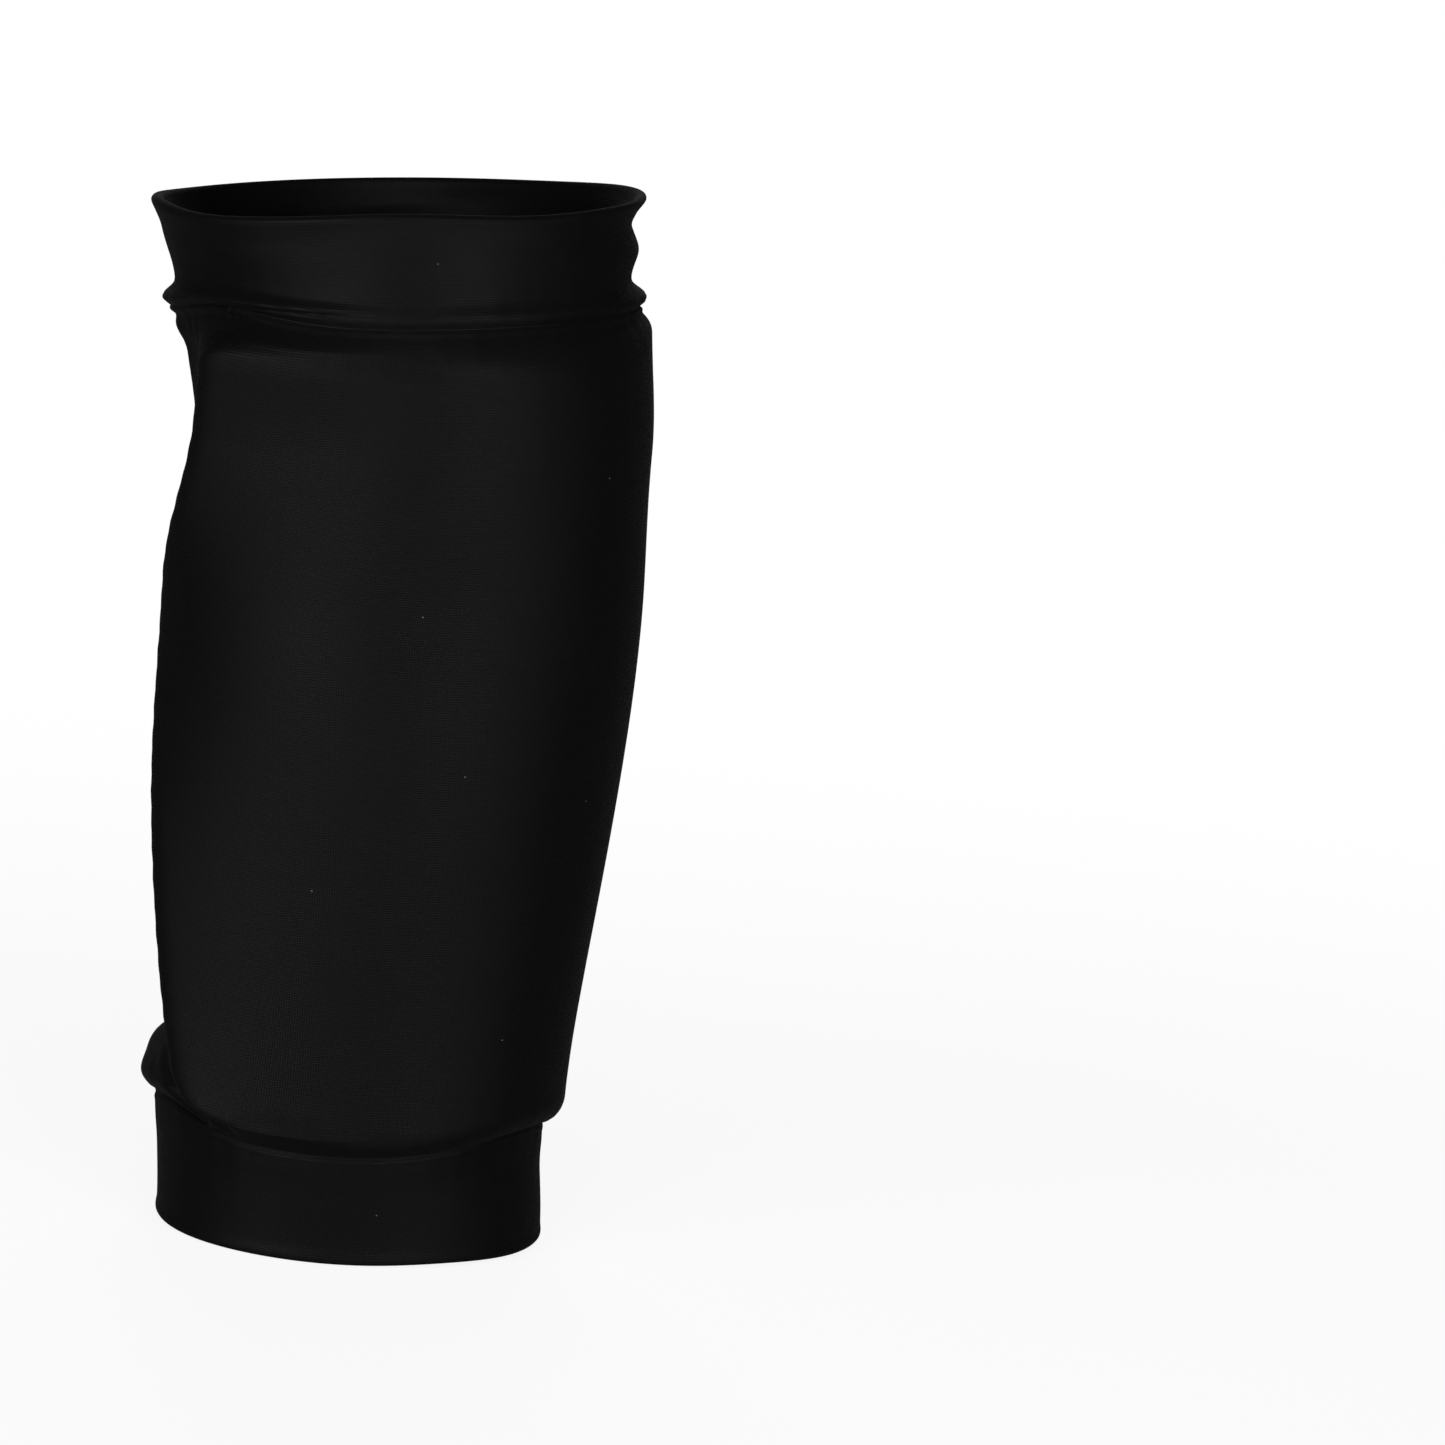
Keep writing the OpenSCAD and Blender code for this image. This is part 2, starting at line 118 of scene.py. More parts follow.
def colour(name, text, value):
    """A colour in linear light."""
    return bpy.props.FloatVectorProperty(
        name=name, description=text, default=value, size=3, min=0, max=1, subtype="COLOR")


# Sizes and colours that a user can change

class LegForm(bpy.types.PropertyGroup):
    """Worn shape of the sleeve's inside"""
    sleeve_height: length("Sleeve height", "Upper rim above the lower rim", 265)
    lower_cuff: length("Lower cuff", "Height of the doubled cuff round the calf", 28.5)
    upper_cuff: length("Upper cuff", "Height of the doubled cuff at the knee", 26.5)
    calf_drop: length("Calf drop", "From the upper seam down to the widest calf", 75.5)
    knee_drop: length("Knee drop", "From the upper seam down to the narrow part", 35)
    lower_rim_width: length("Lower rim width", "Inside width of the lower rim", 94.5)
    lower_seam_width: length("Lower seam width", "Inside width at the lower seam", 93.5)
    calf_width: length("Calf width", "Inside width at the widest calf", 108.3)
    knee_width: length("Knee width", "Inside width under the knee", 105.5)
    upper_seam_width: length("Upper seam width", "Inside width at the upper seam", 107.5)
    upper_rim_width: length("Upper rim width", "Inside width of the upper rim", 113.5)
    lower_rim_front: length("Lower rim front", "Axis to the front of the lower rim", 43)
    lower_seam_front: length("Lower seam front", "Axis to the front of the lower seam", 46)
    calf_front: length("Calf front", "Axis to the shin at the widest calf", 52)
    knee_front: length("Knee front", "Axis to the shin under the knee", 54)
    upper_seam_front: length("Upper seam front", "Axis to the front of the upper seam", 55)
    upper_rim_front: length("Upper rim front", "Axis to the front of the upper rim", 53)
    lower_rim_back: length("Lower rim back", "Axis to the back of the lower rim", 46)
    lower_seam_back: length("Lower seam back", "Axis to the back of the lower seam", 49)
    calf_back: length("Calf back", "Axis to the back of the calf", 62)
    knee_back: length("Knee back", "Axis to the hollow behind the knee", 60)
    upper_seam_back: length("Upper seam back", "Axis to the back of the upper seam", 59)
    upper_rim_back: length("Upper rim back", "Axis to the back of the upper rim", 60)
    lower_seam_shift: length("Lower seam shift", "Sideways place of the lower seam", -2.5)
    calf_shift: length("Calf shift", "Sideways place of the calf", -1.6)
    knee_shift: length("Knee shift", "Sideways place under the knee", -1.9)
    upper_seam_shift: length("Upper seam shift", "Sideways place of the upper seam", -6.1)
    upper_rim_shift: length("Upper rim shift", "Sideways place of the upper rim", -10.1)
    upper_tilt: turn("Upper tilt", "Sideways slope of the upper cuff", 5.6)
    right_wave: length("Right wave", "Rise of the lower seam at the pad's right corner", 5.5)
    right_wave_turn: turn("Right wave turn", "Angle at which it rises most", 44)
    right_wave_half: turn("Right wave half", "Half the angle of that wave", 36)
    left_wave: length("Left wave", "Rise of the lower seam at the pad's left corner", 5)
    left_wave_turn: turn("Left wave turn", "Angle at which it rises most", -82)
    left_wave_half: turn("Left wave half", "Half the angle of that wave", 26)
    upper_wave: length("Upper wave", "Rise of the upper seam at the pad's left corner", 3.8)
    upper_wave_turn: turn("Upper wave turn", "Angle at which it rises most", -66)
    upper_wave_half: turn("Upper wave half", "Half the angle of that wave", 24)
    wave_reach: length("Wave reach", "Distance over which the cloth goes along", 45)


class PadForm(bpy.types.PropertyGroup):
    """Shape of the foam and of the cover drawn over it"""
    thickness: length("Thickness", "Foam on its centre line", 8)
    side_thickness: length("Side thickness", "Foam near its sides", 6)
    edge_thickness: length("Edge thickness", "Foam's blunt edge", 2)
    top_width: length("Top width", "Foam round the leg at its top", 154)
    calf_width: length("Calf width", "Foam round the leg at the calf", 172)
    bottom_width: length("Bottom width", "Foam round the leg at its bottom", 134)
    top_corner: length("Top corner", "Corner radius at the foam's top", 6)
    bottom_corner: length("Bottom corner", "Corner radius at the foam's bottom", 10)
    side_round: length("Side round", "Width of the round-over at the sides", 8.5)
    bottom_round: length("Bottom round", "Width of the round-over at the bottom", 7.5)
    top_round: length("Top round", "Width of the bevel at the top", 12.5)
    seam_gap: length("Seam gap", "Between the foam and each cuff's seam", 6)
    side_margin: length("Side margin", "Cloth past the foam, to the side seams", 4)
    centre_turn: turn("Centre turn", "Turn of the pad's centre line towards +X", 5)
    stand: length("Stand", "How far the pad's left edge stands off the leg", 9)
    left_trim: length("Left trim", "By how much the pad's left half is narrower", 16)
    bend: share("Bend", "How far the pad bends with the calf", 0.75)
    bend_drop: length("Bend drop", "Middle of that bend under the widest calf", 6)
    bend_above: length("Bend above", "Half height of that bend, over its middle", 28)
    bend_below: length("Bend below", "Half height of that bend, under its middle", 48)
    stand_front: turn("Stand front", "Angle in front of that edge that stands off", 40)
    stand_back: turn("Stand back", "Angle behind that edge in which the cloth returns", 32)
    stand_ends: length("Stand ends", "Distance from a seam over which that stand grows", 10)
    tuck: length("Tuck", "Cover that lies flat beside a seam", 0.4)
    right_bevel: share("Right bevel", "Share of the top's bevel that is left at the right", 0.4)


class ClothForm(bpy.types.PropertyGroup):
    """Thicknesses of the cloths and seams"""
    knit: length("Knit", "Thickness of the stretch knit", 0.7)
    elastic: length("Elastic", "Thickness of the cuff elastic", 0.8)
    rib_pitch: length("Rib pitch", "Distance between the elastic's ribs", 1.6)
    seam: length("Seam", "Thickness of an overlocked allowance", 1.8)
    seam_half: length("Seam half", "Half the width of an allowance", 3)
    join_half: length("Join half", "Half the width of a cuff's closing seam", 3)
    thread: length("Thread", "Radius of the overlock thread", 0.2)
    stitch: length("Stitch", "Pitch of the overlock stitches", 2.4)
    gap: length("Gap", "Clearance between layers", 0.15)
    seam_clear: length("Seam clearance", "Between an allowance and the cloth over it", 0.45)
    seam_slope: length("Seam slope", "Distance in which a cloth comes down from a seam", 9)
    stretch: number("Stretch", "Worn width of the knit over its cut width", 1.15)


class FoldForm(bpy.types.PropertyGroup):
    """Folds, rolls and puckers of the worn cloth"""
    rim_flare: length("Rim flare", "How far the upper rim flares", 2)
    rim_flare_height: length("Rim flare height", "Height of the flared part", 8)
    rim_flare_front: share("Rim flare front", "Share of the flare that is left in front", 0.2)
    rim_wave: length("Rim wave", "Unevenness of the two rims", 1)
    rim_bead: length("Rim bead", "How far a folded rim stands out", 0.25)
    seam_roll: length("Seam roll", "How far the upper seam stands out", 3.6)
    seam_roll_peak: length("Seam roll peak", "Height of the roll's peak over the seam", 2.1)
    seam_roll_half: length("Seam roll half", "Half the height of that peak", 2.4)
    roll_front: length("Roll at front", "How far the upper seam stands out in front", 1.2)
    roll_below: length("Roll below", "Distance under the seam in which the roll ends", 1.8)
    lip: length("Lip", "How far a sewn edge rolls outwards", 0.15)
    lip_half: length("Lip half", "Half the width of that lip", 0.8)
    groove: length("Groove", "Depth of the sewn line beside a lip", 0.1)
    shoulder: length("Shoulder", "How far the lower seam stands out in front", 0.9)
    shoulder_above: length("Shoulder above", "Distance in which it ends over the seam", 1.6)
    shoulder_below: length("Shoulder below", "Distance in which it ends under the seam", 9)
    rim_curl: length("Rim curl", "How far the upper rim's edge curls out at the right", 1.2)
    rim_curl_height: length("Rim curl height", "Height of the curled edge", 4.5)
    pleat: length("Pleat", "Depth of the pleat over the upper seam", 0.9)
    pleat_rise: length("Pleat rise", "Highest point of the pleat over the seam", 2.7)
    cuff_wrinkle: length("Cuff wrinkle", "Wrinkles at the upper cuff's right side", 1.7)
    calf_fold: length("Calf fold", "Slack fold behind the pad's lower end", 5.4)
    calf_fold_rise: length("Calf fold rise", "Height of that fold over the seam", 10)
    calf_fold_half: length("Calf fold half", "Half height of that fold", 9)
    knee_crease: length("Knee crease", "Creases behind the knee", 1)
    streak: length("Streak", "Upright pleats under the upper seam", 0.45)
    pucker: length("Pucker", "Height of the puckers along the seams", 0.12)
    pucker_pitch: length("Pucker pitch", "Distance between puckers", 7)
    pucker_reach: length("Pucker reach", "How far puckers run from a seam", 7)
    unevenness: length("Unevenness", "Slow waves of the worn cloth", 0.25)


class Finish(bpy.types.PropertyGroup):
    """Colours and surface of the materials"""
    knit_colour: colour("Knit", "Black satin knit", (0.0028, 0.0026, 0.003))
    # Dark end of the knit's and the lining's colour: painted shade between the stitches, along
    # with their random mottle and nap.
    knit_mottle_and_stitch_shade: colour("Knit valleys", "Between the stitches", (0.0009, 0.0008, 0.001))
    lint_colour: colour("Lint", "A few specks of lint", (0.07, 0.07, 0.07))
    lining_colour: colour("Lining", "Brushed lining", (0.011, 0.011, 0.013))
    foam_colour: colour("Foam", "Closed-cell foam", (0.07, 0.072, 0.078))
    elastic_colour: colour("Elastic", "Ribbed elastic", (0.016, 0.016, 0.018))
    thread_colour: colour("Thread", "Overlock thread", (0.011, 0.011, 0.012))
    knit_pitch: length("Knit pitch", "Height of one knitted stitch", 0.58)
    knit_relief: length("Knit relief", "Depth of the stitches", 0.12)
    lint_size: length("Lint size", "Radius of a speck of lint", 0.14)
    lint_spacing: length("Lint spacing", "Mean distance between specks of lint", 52)
    lining_pitch: length("Lining pitch", "Height of one stitch of the lining", 1)
    knit_roughness: share("Knit roughness", "Roughness of the satin face", 0.37)
    knit_gloss: share("Knit gloss", "Specular level of the satin face", 0.044)


class Studio(bpy.types.PropertyGroup):
    """Camera and light"""
    distance: length("Distance", "Camera from the aim point", 1400)
    aim_height: length("Aim height", "Aim point above the lower rim", 131)
    azimuth: turn("Azimuth", "Camera round the guard, from the front to +X", -16)
    elevation: turn("Elevation", "Camera above the level of the aim point", 8.94)
    roll: turn("Roll", "Lean of the guard to the right in the picture", 4.99)
    picture_scale: length("Picture scale", "Size of one pixel at the aim point", 0.256)
    aim_across: number("Aim across", "Pixel of the aim point, from the left", 391.95)
    aim_down: number("Aim down", "Pixel of the aim point, from the top", 724.6)
    floor_colour: colour("Floor", "Pale floor", (0.9, 0.9, 0.9))
    floor_size: length("Floor size", "Side of the square floor", 600000)
    floor_white: share("Floor white", "White added to the floor beside the guard", 0.88)
    shadow_reach: length("Shadow reach", "Radius of floor that takes the shadow", 900)
    shadow_core: share("Shadow core", "Share of that radius in which it doesn't fade", 0.35)
    fill: number("Fill", "Strength of the even light", 0.02)
    left_turn: turn("Left box", "Azimuth of the left softbox", -56)
    right_turn: turn("Right box", "Azimuth of the right softbox", 18)
    left_power: number("Left power", "Watts of the left softbox", 22)
    right_power: number("Right power", "Watts of the right softbox", 17.4)
    top_power: number("Top power", "Watts of the softbox over the camera", 9)
    back_power: number("Back power", "Watts of the softbox behind the guard", 13)


GROUPS = {
    "guard_leg": LegForm, "guard_pad": PadForm, "guard_cloth": ClothForm,
    "guard_folds": FoldForm, "guard_finish": Finish, "guard_studio": Studio,
}


# Curves

def ease(t):
    """Smooth step from 0 to 1 as t goes from 0 to 1."""
    return (1 - np.cos(np.pi * np.clip(t, 0, 1))) / 2


def between(x, start, end):
    """Smooth step from 0 to 1 as x goes from start to end."""
    return ease((x - start) / (end - start))


def mix(a, b, t):
    return a + (b - a) * t


def bell(x, centre, half):
    """Bell curve of height 1."""
    return np.exp(-((x - centre) / half) ** 2)


def round_over(distance, width):
    """Quarter round: 0 on an edge, 1 at the full width of the round."""
    left = 1 - np.clip(distance / width, 0, 1)
    return np.sqrt(1 - left ** 2)


def corner_inset(distance, radius):
    """Inset of a rounded corner at a distance from the edge that it rounds."""
    left = radius - np.clip(distance, 0, radius)
    return radius - np.sqrt(radius ** 2 - left ** 2)


def crowded(count, crowding):
    """Shares from 0 to 1 that lie closer together at both ends."""
    t = np.linspace(0, 1, count)
    return t - crowding * np.sin(2 * np.pi * t) / (2 * np.pi)


def wrapped(angle):
    """An angle brought between minus and plus half a turn."""
    return (angle + np.pi) % (2 * np.pi) - np.pi


# The worn sleeve

class Sleeve:
    """Leg form, pad outline and worn folds, worked out from the sizes in the side bar."""

    def __init__(self, scene):
        leg, pad, cloth = scene.guard_leg, scene.guard_pad, scene.guard_cloth
        self.leg, self.pad, self.cloth, self.folds = leg, pad, cloth, scene.guard_folds
        self.lower_seam = leg.lower_cuff
        self.upper_seam = leg.sleeve_height - leg.upper_cuff
        self.calf = self.upper_seam - leg.calf_drop
        self.knee = self.upper_seam - leg.knee_drop
        self.foam_low = self.lower_seam + pad.seam_gap
        self.foam_high = self.upper_seam - pad.seam_gap
        self.cuff_back = cloth.knit + cloth.elastic + 3 * cloth.gap
        self.cuff_face = self.cuff_back + cloth.knit
        self.seam_lift = cloth.gap + cloth.seam + cloth.seam_clear
        self.seam_stop = cloth.seam_half + 2 * cloth.gap
        self.seam_middle = cloth.gap + cloth.seam / 2
        self.seam_core = cloth.seam - 4 * cloth.thread
        # Level, half width, sideways shift, front depth and back depth.
        self.stations = np.array([
            (0, leg.lower_rim_width / 2, 0, leg.lower_rim_front, leg.lower_rim_back),
            (self.lower_seam, leg.lower_seam_width / 2, leg.lower_seam_shift,
             leg.lower_seam_front, leg.lower_seam_back),
            (self.calf, leg.calf_width / 2, leg.calf_shift, leg.calf_front, leg.calf_back),
            (self.knee, leg.knee_width / 2, leg.knee_shift, leg.knee_front, leg.knee_back),
            (self.upper_seam, leg.upper_seam_width / 2, leg.upper_seam_shift,
             leg.upper_seam_front, leg.upper_seam_back),
            (leg.sleeve_height, leg.upper_rim_width / 2, leg.upper_rim_shift,
             leg.upper_rim_front, leg.upper_rim_back),
        ])

    def at(self, level, column):
        """One column of the stations at a level, eased from station to station."""
        levels, values = self.stations[:, LEVEL], self.stations[:, column]
        below = np.clip(np.searchsorted(levels, level) - 1, 0, len(levels) - 2)
        step = (level - levels[below]) / (levels[below + 1] - levels[below])
        return mix(values[below], values[below + 1], ease(step))

    def radius(self, level):
        """Mean radius of the leg's front half, which turns a width into an angle."""
        return (self.at(level, HALF) + self.at(level, FRONT)) / 2

    def ride(self, angle, level):
        """How far the cloth rides up with the waves of the two seams."""
        leg = self.leg
        low = np.where(
            level < self.lower_seam, ease(level / self.lower_seam),
            1 - ease((level - self.lower_seam) / leg.wave_reach))
        high = np.where(
            level > self.upper_seam, 1 - ease((level - self.upper_seam) / leg.upper_cuff),
            1 - ease((self.upper_seam - level) / leg.wave_reach))
        right = leg.right_wave * bell(wrapped(angle - leg.right_wave_turn), 0, leg.right_wave_half)
        left = leg.left_wave * bell(wrapped(angle - leg.left_wave_turn), 0, leg.left_wave_half)
        top = leg.upper_wave * bell(wrapped(angle - leg.upper_wave_turn), 0, leg.upper_wave_half)
        return low * (right + left) + high * top

    def stand(self, angle, level):
        """How far the stiff pad's left edge, straighter than the calf, is off the leg."""
        pad = self.pad
        edge = self.pad_angle(-self.foam_half(level), level)
        away = wrapped(angle - edge)
        reach = np.where(away > 0, pad.stand_front, pad.stand_back)
        # The ridge is blunt within this angle, in radians.
        blunt = 0.05
        near = np.clip(1 - (np.hypot(away, blunt) - blunt) / reach, 0, 1) ** 2
        ends = (ease((level - self.lower_seam) / pad.stand_ends)
                * ease((self.upper_seam - level) / pad.stand_ends))
        return pad.stand * ends * self.straight(level) * near

    def place(self, angle, level, off):
        """Points on the leg form: angle from the front towards +X, level, outward offset."""
        angle, level, off = np.broadcast_arrays(angle, level, off)
        off = off + self.stand(angle, level)
        half = self.at(level, HALF)
        deep = np.where(np.cos(angle) > 0, self.at(level, FRONT), self.at(level, BACK))
        way = np.stack([np.sin(angle) / half, -np.cos(angle) / deep])
        out = way / np.linalg.norm(way, axis=0) * off
        across = half * np.sin(angle) + out[0]
        tilt = math.tan(self.leg.upper_tilt) * between(level, self.calf, self.upper_seam)
        height = level + across * tilt + self.ride(angle, level)
        return np.stack(
            [self.at(level, SHIFT) + across, out[1] - deep * np.cos(angle), height], -1)

    def straight(self, level):
        """How straight the pad stays across the leg: 1 at its ends, less on the calf."""
        pad = self.pad
        middle = self.calf - pad.bend_drop
        half = np.where(level > middle, pad.bend_above, pad.bend_below)
        return 1 - pad.bend * bell(level, middle, half)

    def trim(self, level):
        """How far the pad's left edge lies inside its right edge's mirror image."""
        return self.pad.left_trim * self.straight(level)

    def pad_angle(self, width, level):
        """Angle round the leg at a distance from the pad's centre line."""
        return self.pad.centre_turn + (width + self.trim(level) / 2) / self.radius(level)

    def panel_half(self, level):
        """Half the foam's width at a level, before its corners are rounded."""
        pad = self.pad
        up = np.clip((level - self.calf) / (self.foam_high - self.calf), 0, None) ** 2
        down = np.clip((self.calf - level) / (self.calf - self.foam_low), 0, None) ** 2
        return (pad.calf_width + (pad.top_width - pad.calf_width) * up
                + (pad.bottom_width - pad.calf_width) * down - self.trim(level)) / 2

    def foam_half(self, level):
        level = np.clip(level, self.foam_low, self.foam_high)
        return (self.panel_half(level)
                - corner_inset(level - self.foam_low, self.pad.bottom_corner)
                - corner_inset(self.foam_high - level, self.pad.top_corner))

    def side_seam(self, level):
        """Distance from the pad's centre line to the side seams."""
        return self.panel_half(level) + self.pad.side_margin

    def roll(self, angle, distance):
        """How far the upper cuff stands out at a distance from its seam."""
        folds = self.folds
        # It is lowest in front, and rises between two cosines of the angle from there.
        aside = between(-np.cos(angle), -0.9, -0.4)
        height = mix(folds.roll_front, folds.seam_roll, aside)
        return height * bell(distance, folds.seam_roll_peak, folds.seam_roll_half)

    def roll_below(self, angle, distance):
        """How far the cloth under the upper seam stands out with that roll."""
        reach = self.folds.roll_below
        return self.roll(angle, 0) * np.exp(-(distance / reach) ** 4)

    def edge(self, distance):
        """Rolled lip of a sewn edge, and the groove of the sewn line beside it."""
        folds = self.folds
        lip = folds.lip * bell(distance, 1.6 * folds.lip_half, folds.lip_half)
        return lip - folds.groove * bell(distance, 0, 0.6 * folds.lip_half)

    def shoulder(self, angle, distance, reach):
        """How far the lower seam stands out in front, at a distance from it."""
        return (self.folds.shoulder * np.clip(np.cos(angle), 0, 1)
                * (1 - ease(distance / reach)))

    def puckers(self, along, distance):
        """Puckers of the cloth beside a seam."""
        folds = self.folds
        wave = (np.sin(2 * np.pi * along / folds.pucker_pitch)
                + 0.6 * np.sin(2 * np.pi * along / (1.62 * folds.pucker_pitch) + 1.3))
        fade = np.exp(-distance / folds.pucker_reach) * ease(distance / (0.2 * folds.pucker_reach))
        return folds.pucker * wave * fade

    def unevenness(self, angle, level):
        """Slow waves all over the worn cloth."""
        waves = (np.sin(3 * angle + 31 * level + 0.4) * np.sin(47 * level - 1.1)
                 + 0.6 * np.sin(5 * angle - 58 * level + 2))
        return self.folds.unevenness * waves / 1.6

    def cover_rise(self, width, level):
        """Height of the cover's inner face over the leg."""
        pad, cloth = self.pad, self.cloth
        low = level - self.lower_seam
        high = self.upper_seam - level
        side = self.foam_half(level) + pad.side_margin - np.abs(width)
        angle = self.pad_angle(width, level)
        # The top's bevel narrows towards the right, between these angles in radians.
        bevel = pad.top_round * mix(1, pad.right_bevel, between(angle, 0.87, 1.47))
        top = 1 - (1 - np.clip((high - pad.tuck) / bevel, 0, 1)) ** 2
        puff = (top * round_over(low - pad.tuck, pad.bottom_round)
                * round_over(side - pad.tuck, pad.side_round))
        across = width / self.panel_half(level)
        full = mix(pad.thickness, pad.side_thickness, across ** 2) + cloth.knit + 2 * cloth.gap
        seam_side = self.side_seam(level) - np.abs(width)
        return (mix(self.seam_lift, full, puff) + self.roll_below(angle, high)
                + self.puckers(width, low) + self.puckers(width, high)
                + self.puckers(level, seam_side)
                + self.edge(low) + self.edge(seam_side)
                + self.shoulder(angle, low, self.folds.shoulder_above)
                + self.unevenness(angle, level) * puff)

    def back_rise(self, angle, level, side):
        """Height of the back panel's inner face over the leg."""
        folds = self.folds
        low, high = level - self.lower_seam, self.upper_seam - level

        def clear(distance):
            """How far the cloth has come down from a seam's allowance."""
            return ease((distance - self.seam_stop) / self.cloth.seam_slope)

        clear_side = clear(side)
        clear_all = clear(low) * clear(high) * clear_side
        # The slack fold is deepest at the left.
        turned = mix(0.5, 1, (1 - np.sin(angle)) / 2)
        over = (low - folds.calf_fold_rise) / folds.calf_fold_half
        slack = folds.calf_fold * turned * np.clip(1 - over ** 2, 0, 1) ** 0.7
        behind = bell(wrapped(angle - np.pi), 0, 0.9)
        creases = folds.knee_crease * behind * sum(
            part * bell(high, drop + wave * np.sin(count * angle), abs(wave))
            for part, drop, wave, count in KNEE_CREASES)
        # Pleats at the left, which fade downwards. Their angles are in radians.
        left, half, pitch = -1.75, 0.33, 0.085
        streaks = (folds.streak * bell(wrapped(angle - left), 0, half)
                   * np.exp(-high / (40 * MM)) * ease(high / (6 * MM))
                   * np.sin(2 * np.pi * angle / pitch))
        around = angle * UPPER_RADIUS
        return (self.seam_lift * (1 - clear_all) + self.roll_below(angle, high)
                + (slack + creases + streaks) * clear_side
                + self.unevenness(angle, level) * clear_all
                + self.puckers(around, low) + self.puckers(around, high)
                + self.edge(low) + self.edge(high) + self.edge(side))

    def rim(self, angle, waves):
        """How far a rim rises over its mean level."""
        degrees = np.degrees(wrapped(angle))
        return self.folds.rim_wave * sum(
            part * bell(degrees, middle, half) for part, middle, half in waves)

    def flare(self, angle, to_rim):
        """How far the upper cuff flares at a distance from its rim, least in front."""
        folds = self.folds
        front = np.clip(np.cos(angle), 0, 1) ** 2
        near = 1 - ease(to_rim / folds.rim_flare_height)
        return folds.rim_flare * mix(1, folds.rim_flare_front, front) * near

    def join_groove(self, angle):
        """Closing seam of a cuff, at the back."""
        return self.edge(np.abs(wrapped(angle - np.pi)) * BACK_RADIUS)

    def upper_folds(self, angle, rise):
        """Folds of the upper cuff's outer face."""
        folds = self.folds
        degrees = np.degrees(wrapped(angle))
        height = self.leg.upper_cuff
        # The pleat climbs to the right, and fades at both its ends.
        line = folds.pleat_rise * between(degrees, -74, -29)
        fade = between(degrees, -78, -64) * (1 - between(degrees, -46, -12))
        over = (rise - line) / (1.1 * MM)
        pleat = folds.pleat * fade * (0.9 * bell(over, 1.3, 1.1) - 0.7 * bell(over, 0, 0.4))
        # The wrinkle at the right has a hollow over it and another under it.
        right = bell(degrees, 82, 32)
        wrinkle = folds.cuff_wrinkle * right * (
            bell(rise, 0.5 * height, 3.4 * MM) - 0.3 * bell(rise, 0.74 * height, 2 * MM)
            - 0.4 * bell(rise, 0.22 * height, 3 * MM))
        return (self.roll(angle, rise) + pleat + wrinkle
                + folds.rim_bead * bell(rise, height - 1.6 * MM, 1.3 * MM)
                + self.puckers(angle * UPPER_RADIUS, rise) + self.join_groove(angle)
                + self.unevenness(angle, rise + 100 * MM))

    def lower_folds(self, angle, rise):
        """Folds of the lower cuff's outer face."""
        folds = self.folds
        height = self.leg.lower_cuff
        return (self.edge(rise) + self.shoulder(angle, rise, folds.shoulder_below)
                + folds.rim_bead * bell(rise, height - 1.7 * MM, 1.4 * MM)
                + self.puckers(angle * LOWER_RADIUS, rise) + self.join_groove(angle)
                + self.unevenness(angle, rise) * ease(rise / (6 * MM)))


# Meshes

def quads(index):
    """Corner indices of the quads of a grid of indices, rows by columns."""
    corners = (index[:-1, :-1], index[:-1, 1:], index[1:, 1:], index[1:, :-1])
    return np.stack(corners, -1).reshape(-1, 4)


def solid_part(outer, inner, uv, ring=False):
    """Closed solid between two grids of points whose rows go up and whose columns go right.

    A ring's last column meets its first, and its UV grid has one column more.
    """
    rows, columns = outer.shape[:2]
    points = np.concatenate([outer.reshape(-1, 3), inner.reshape(-1, 3)])
    front = np.arange(rows * columns).reshape(rows, columns)
    if ring:
        front = np.hstack([front, front[:, :1]])
    back = front + rows * columns
    coordinates = np.arange(uv.shape[0] * uv.shape[1]).reshape(uv.shape[:2])
    rims = [(0, slice(None), -1), (-1, slice(None), 1)]
    if not ring:
        rims += [(slice(None), 0, 1), (slice(None), -1, -1)]
    faces, loops = [quads(front), quads(back)[:, ::-1]], [quads(coordinates)]
    loops.append(loops[0][:, ::-1])
    for row, column, way in rims:
        edge = np.stack([front[row, column], back[row, column]])
        line = np.stack([coordinates[row, column]] * 2)
        order = [0, 1, 2, 3] if way > 0 else [3, 2, 1, 0]
        faces.append(quads(edge)[:, order])
        loops.append(quads(line)[:, order])
    return points, np.concatenate(faces), uv.reshape(-1, 2)[np.concatenate(loops)]


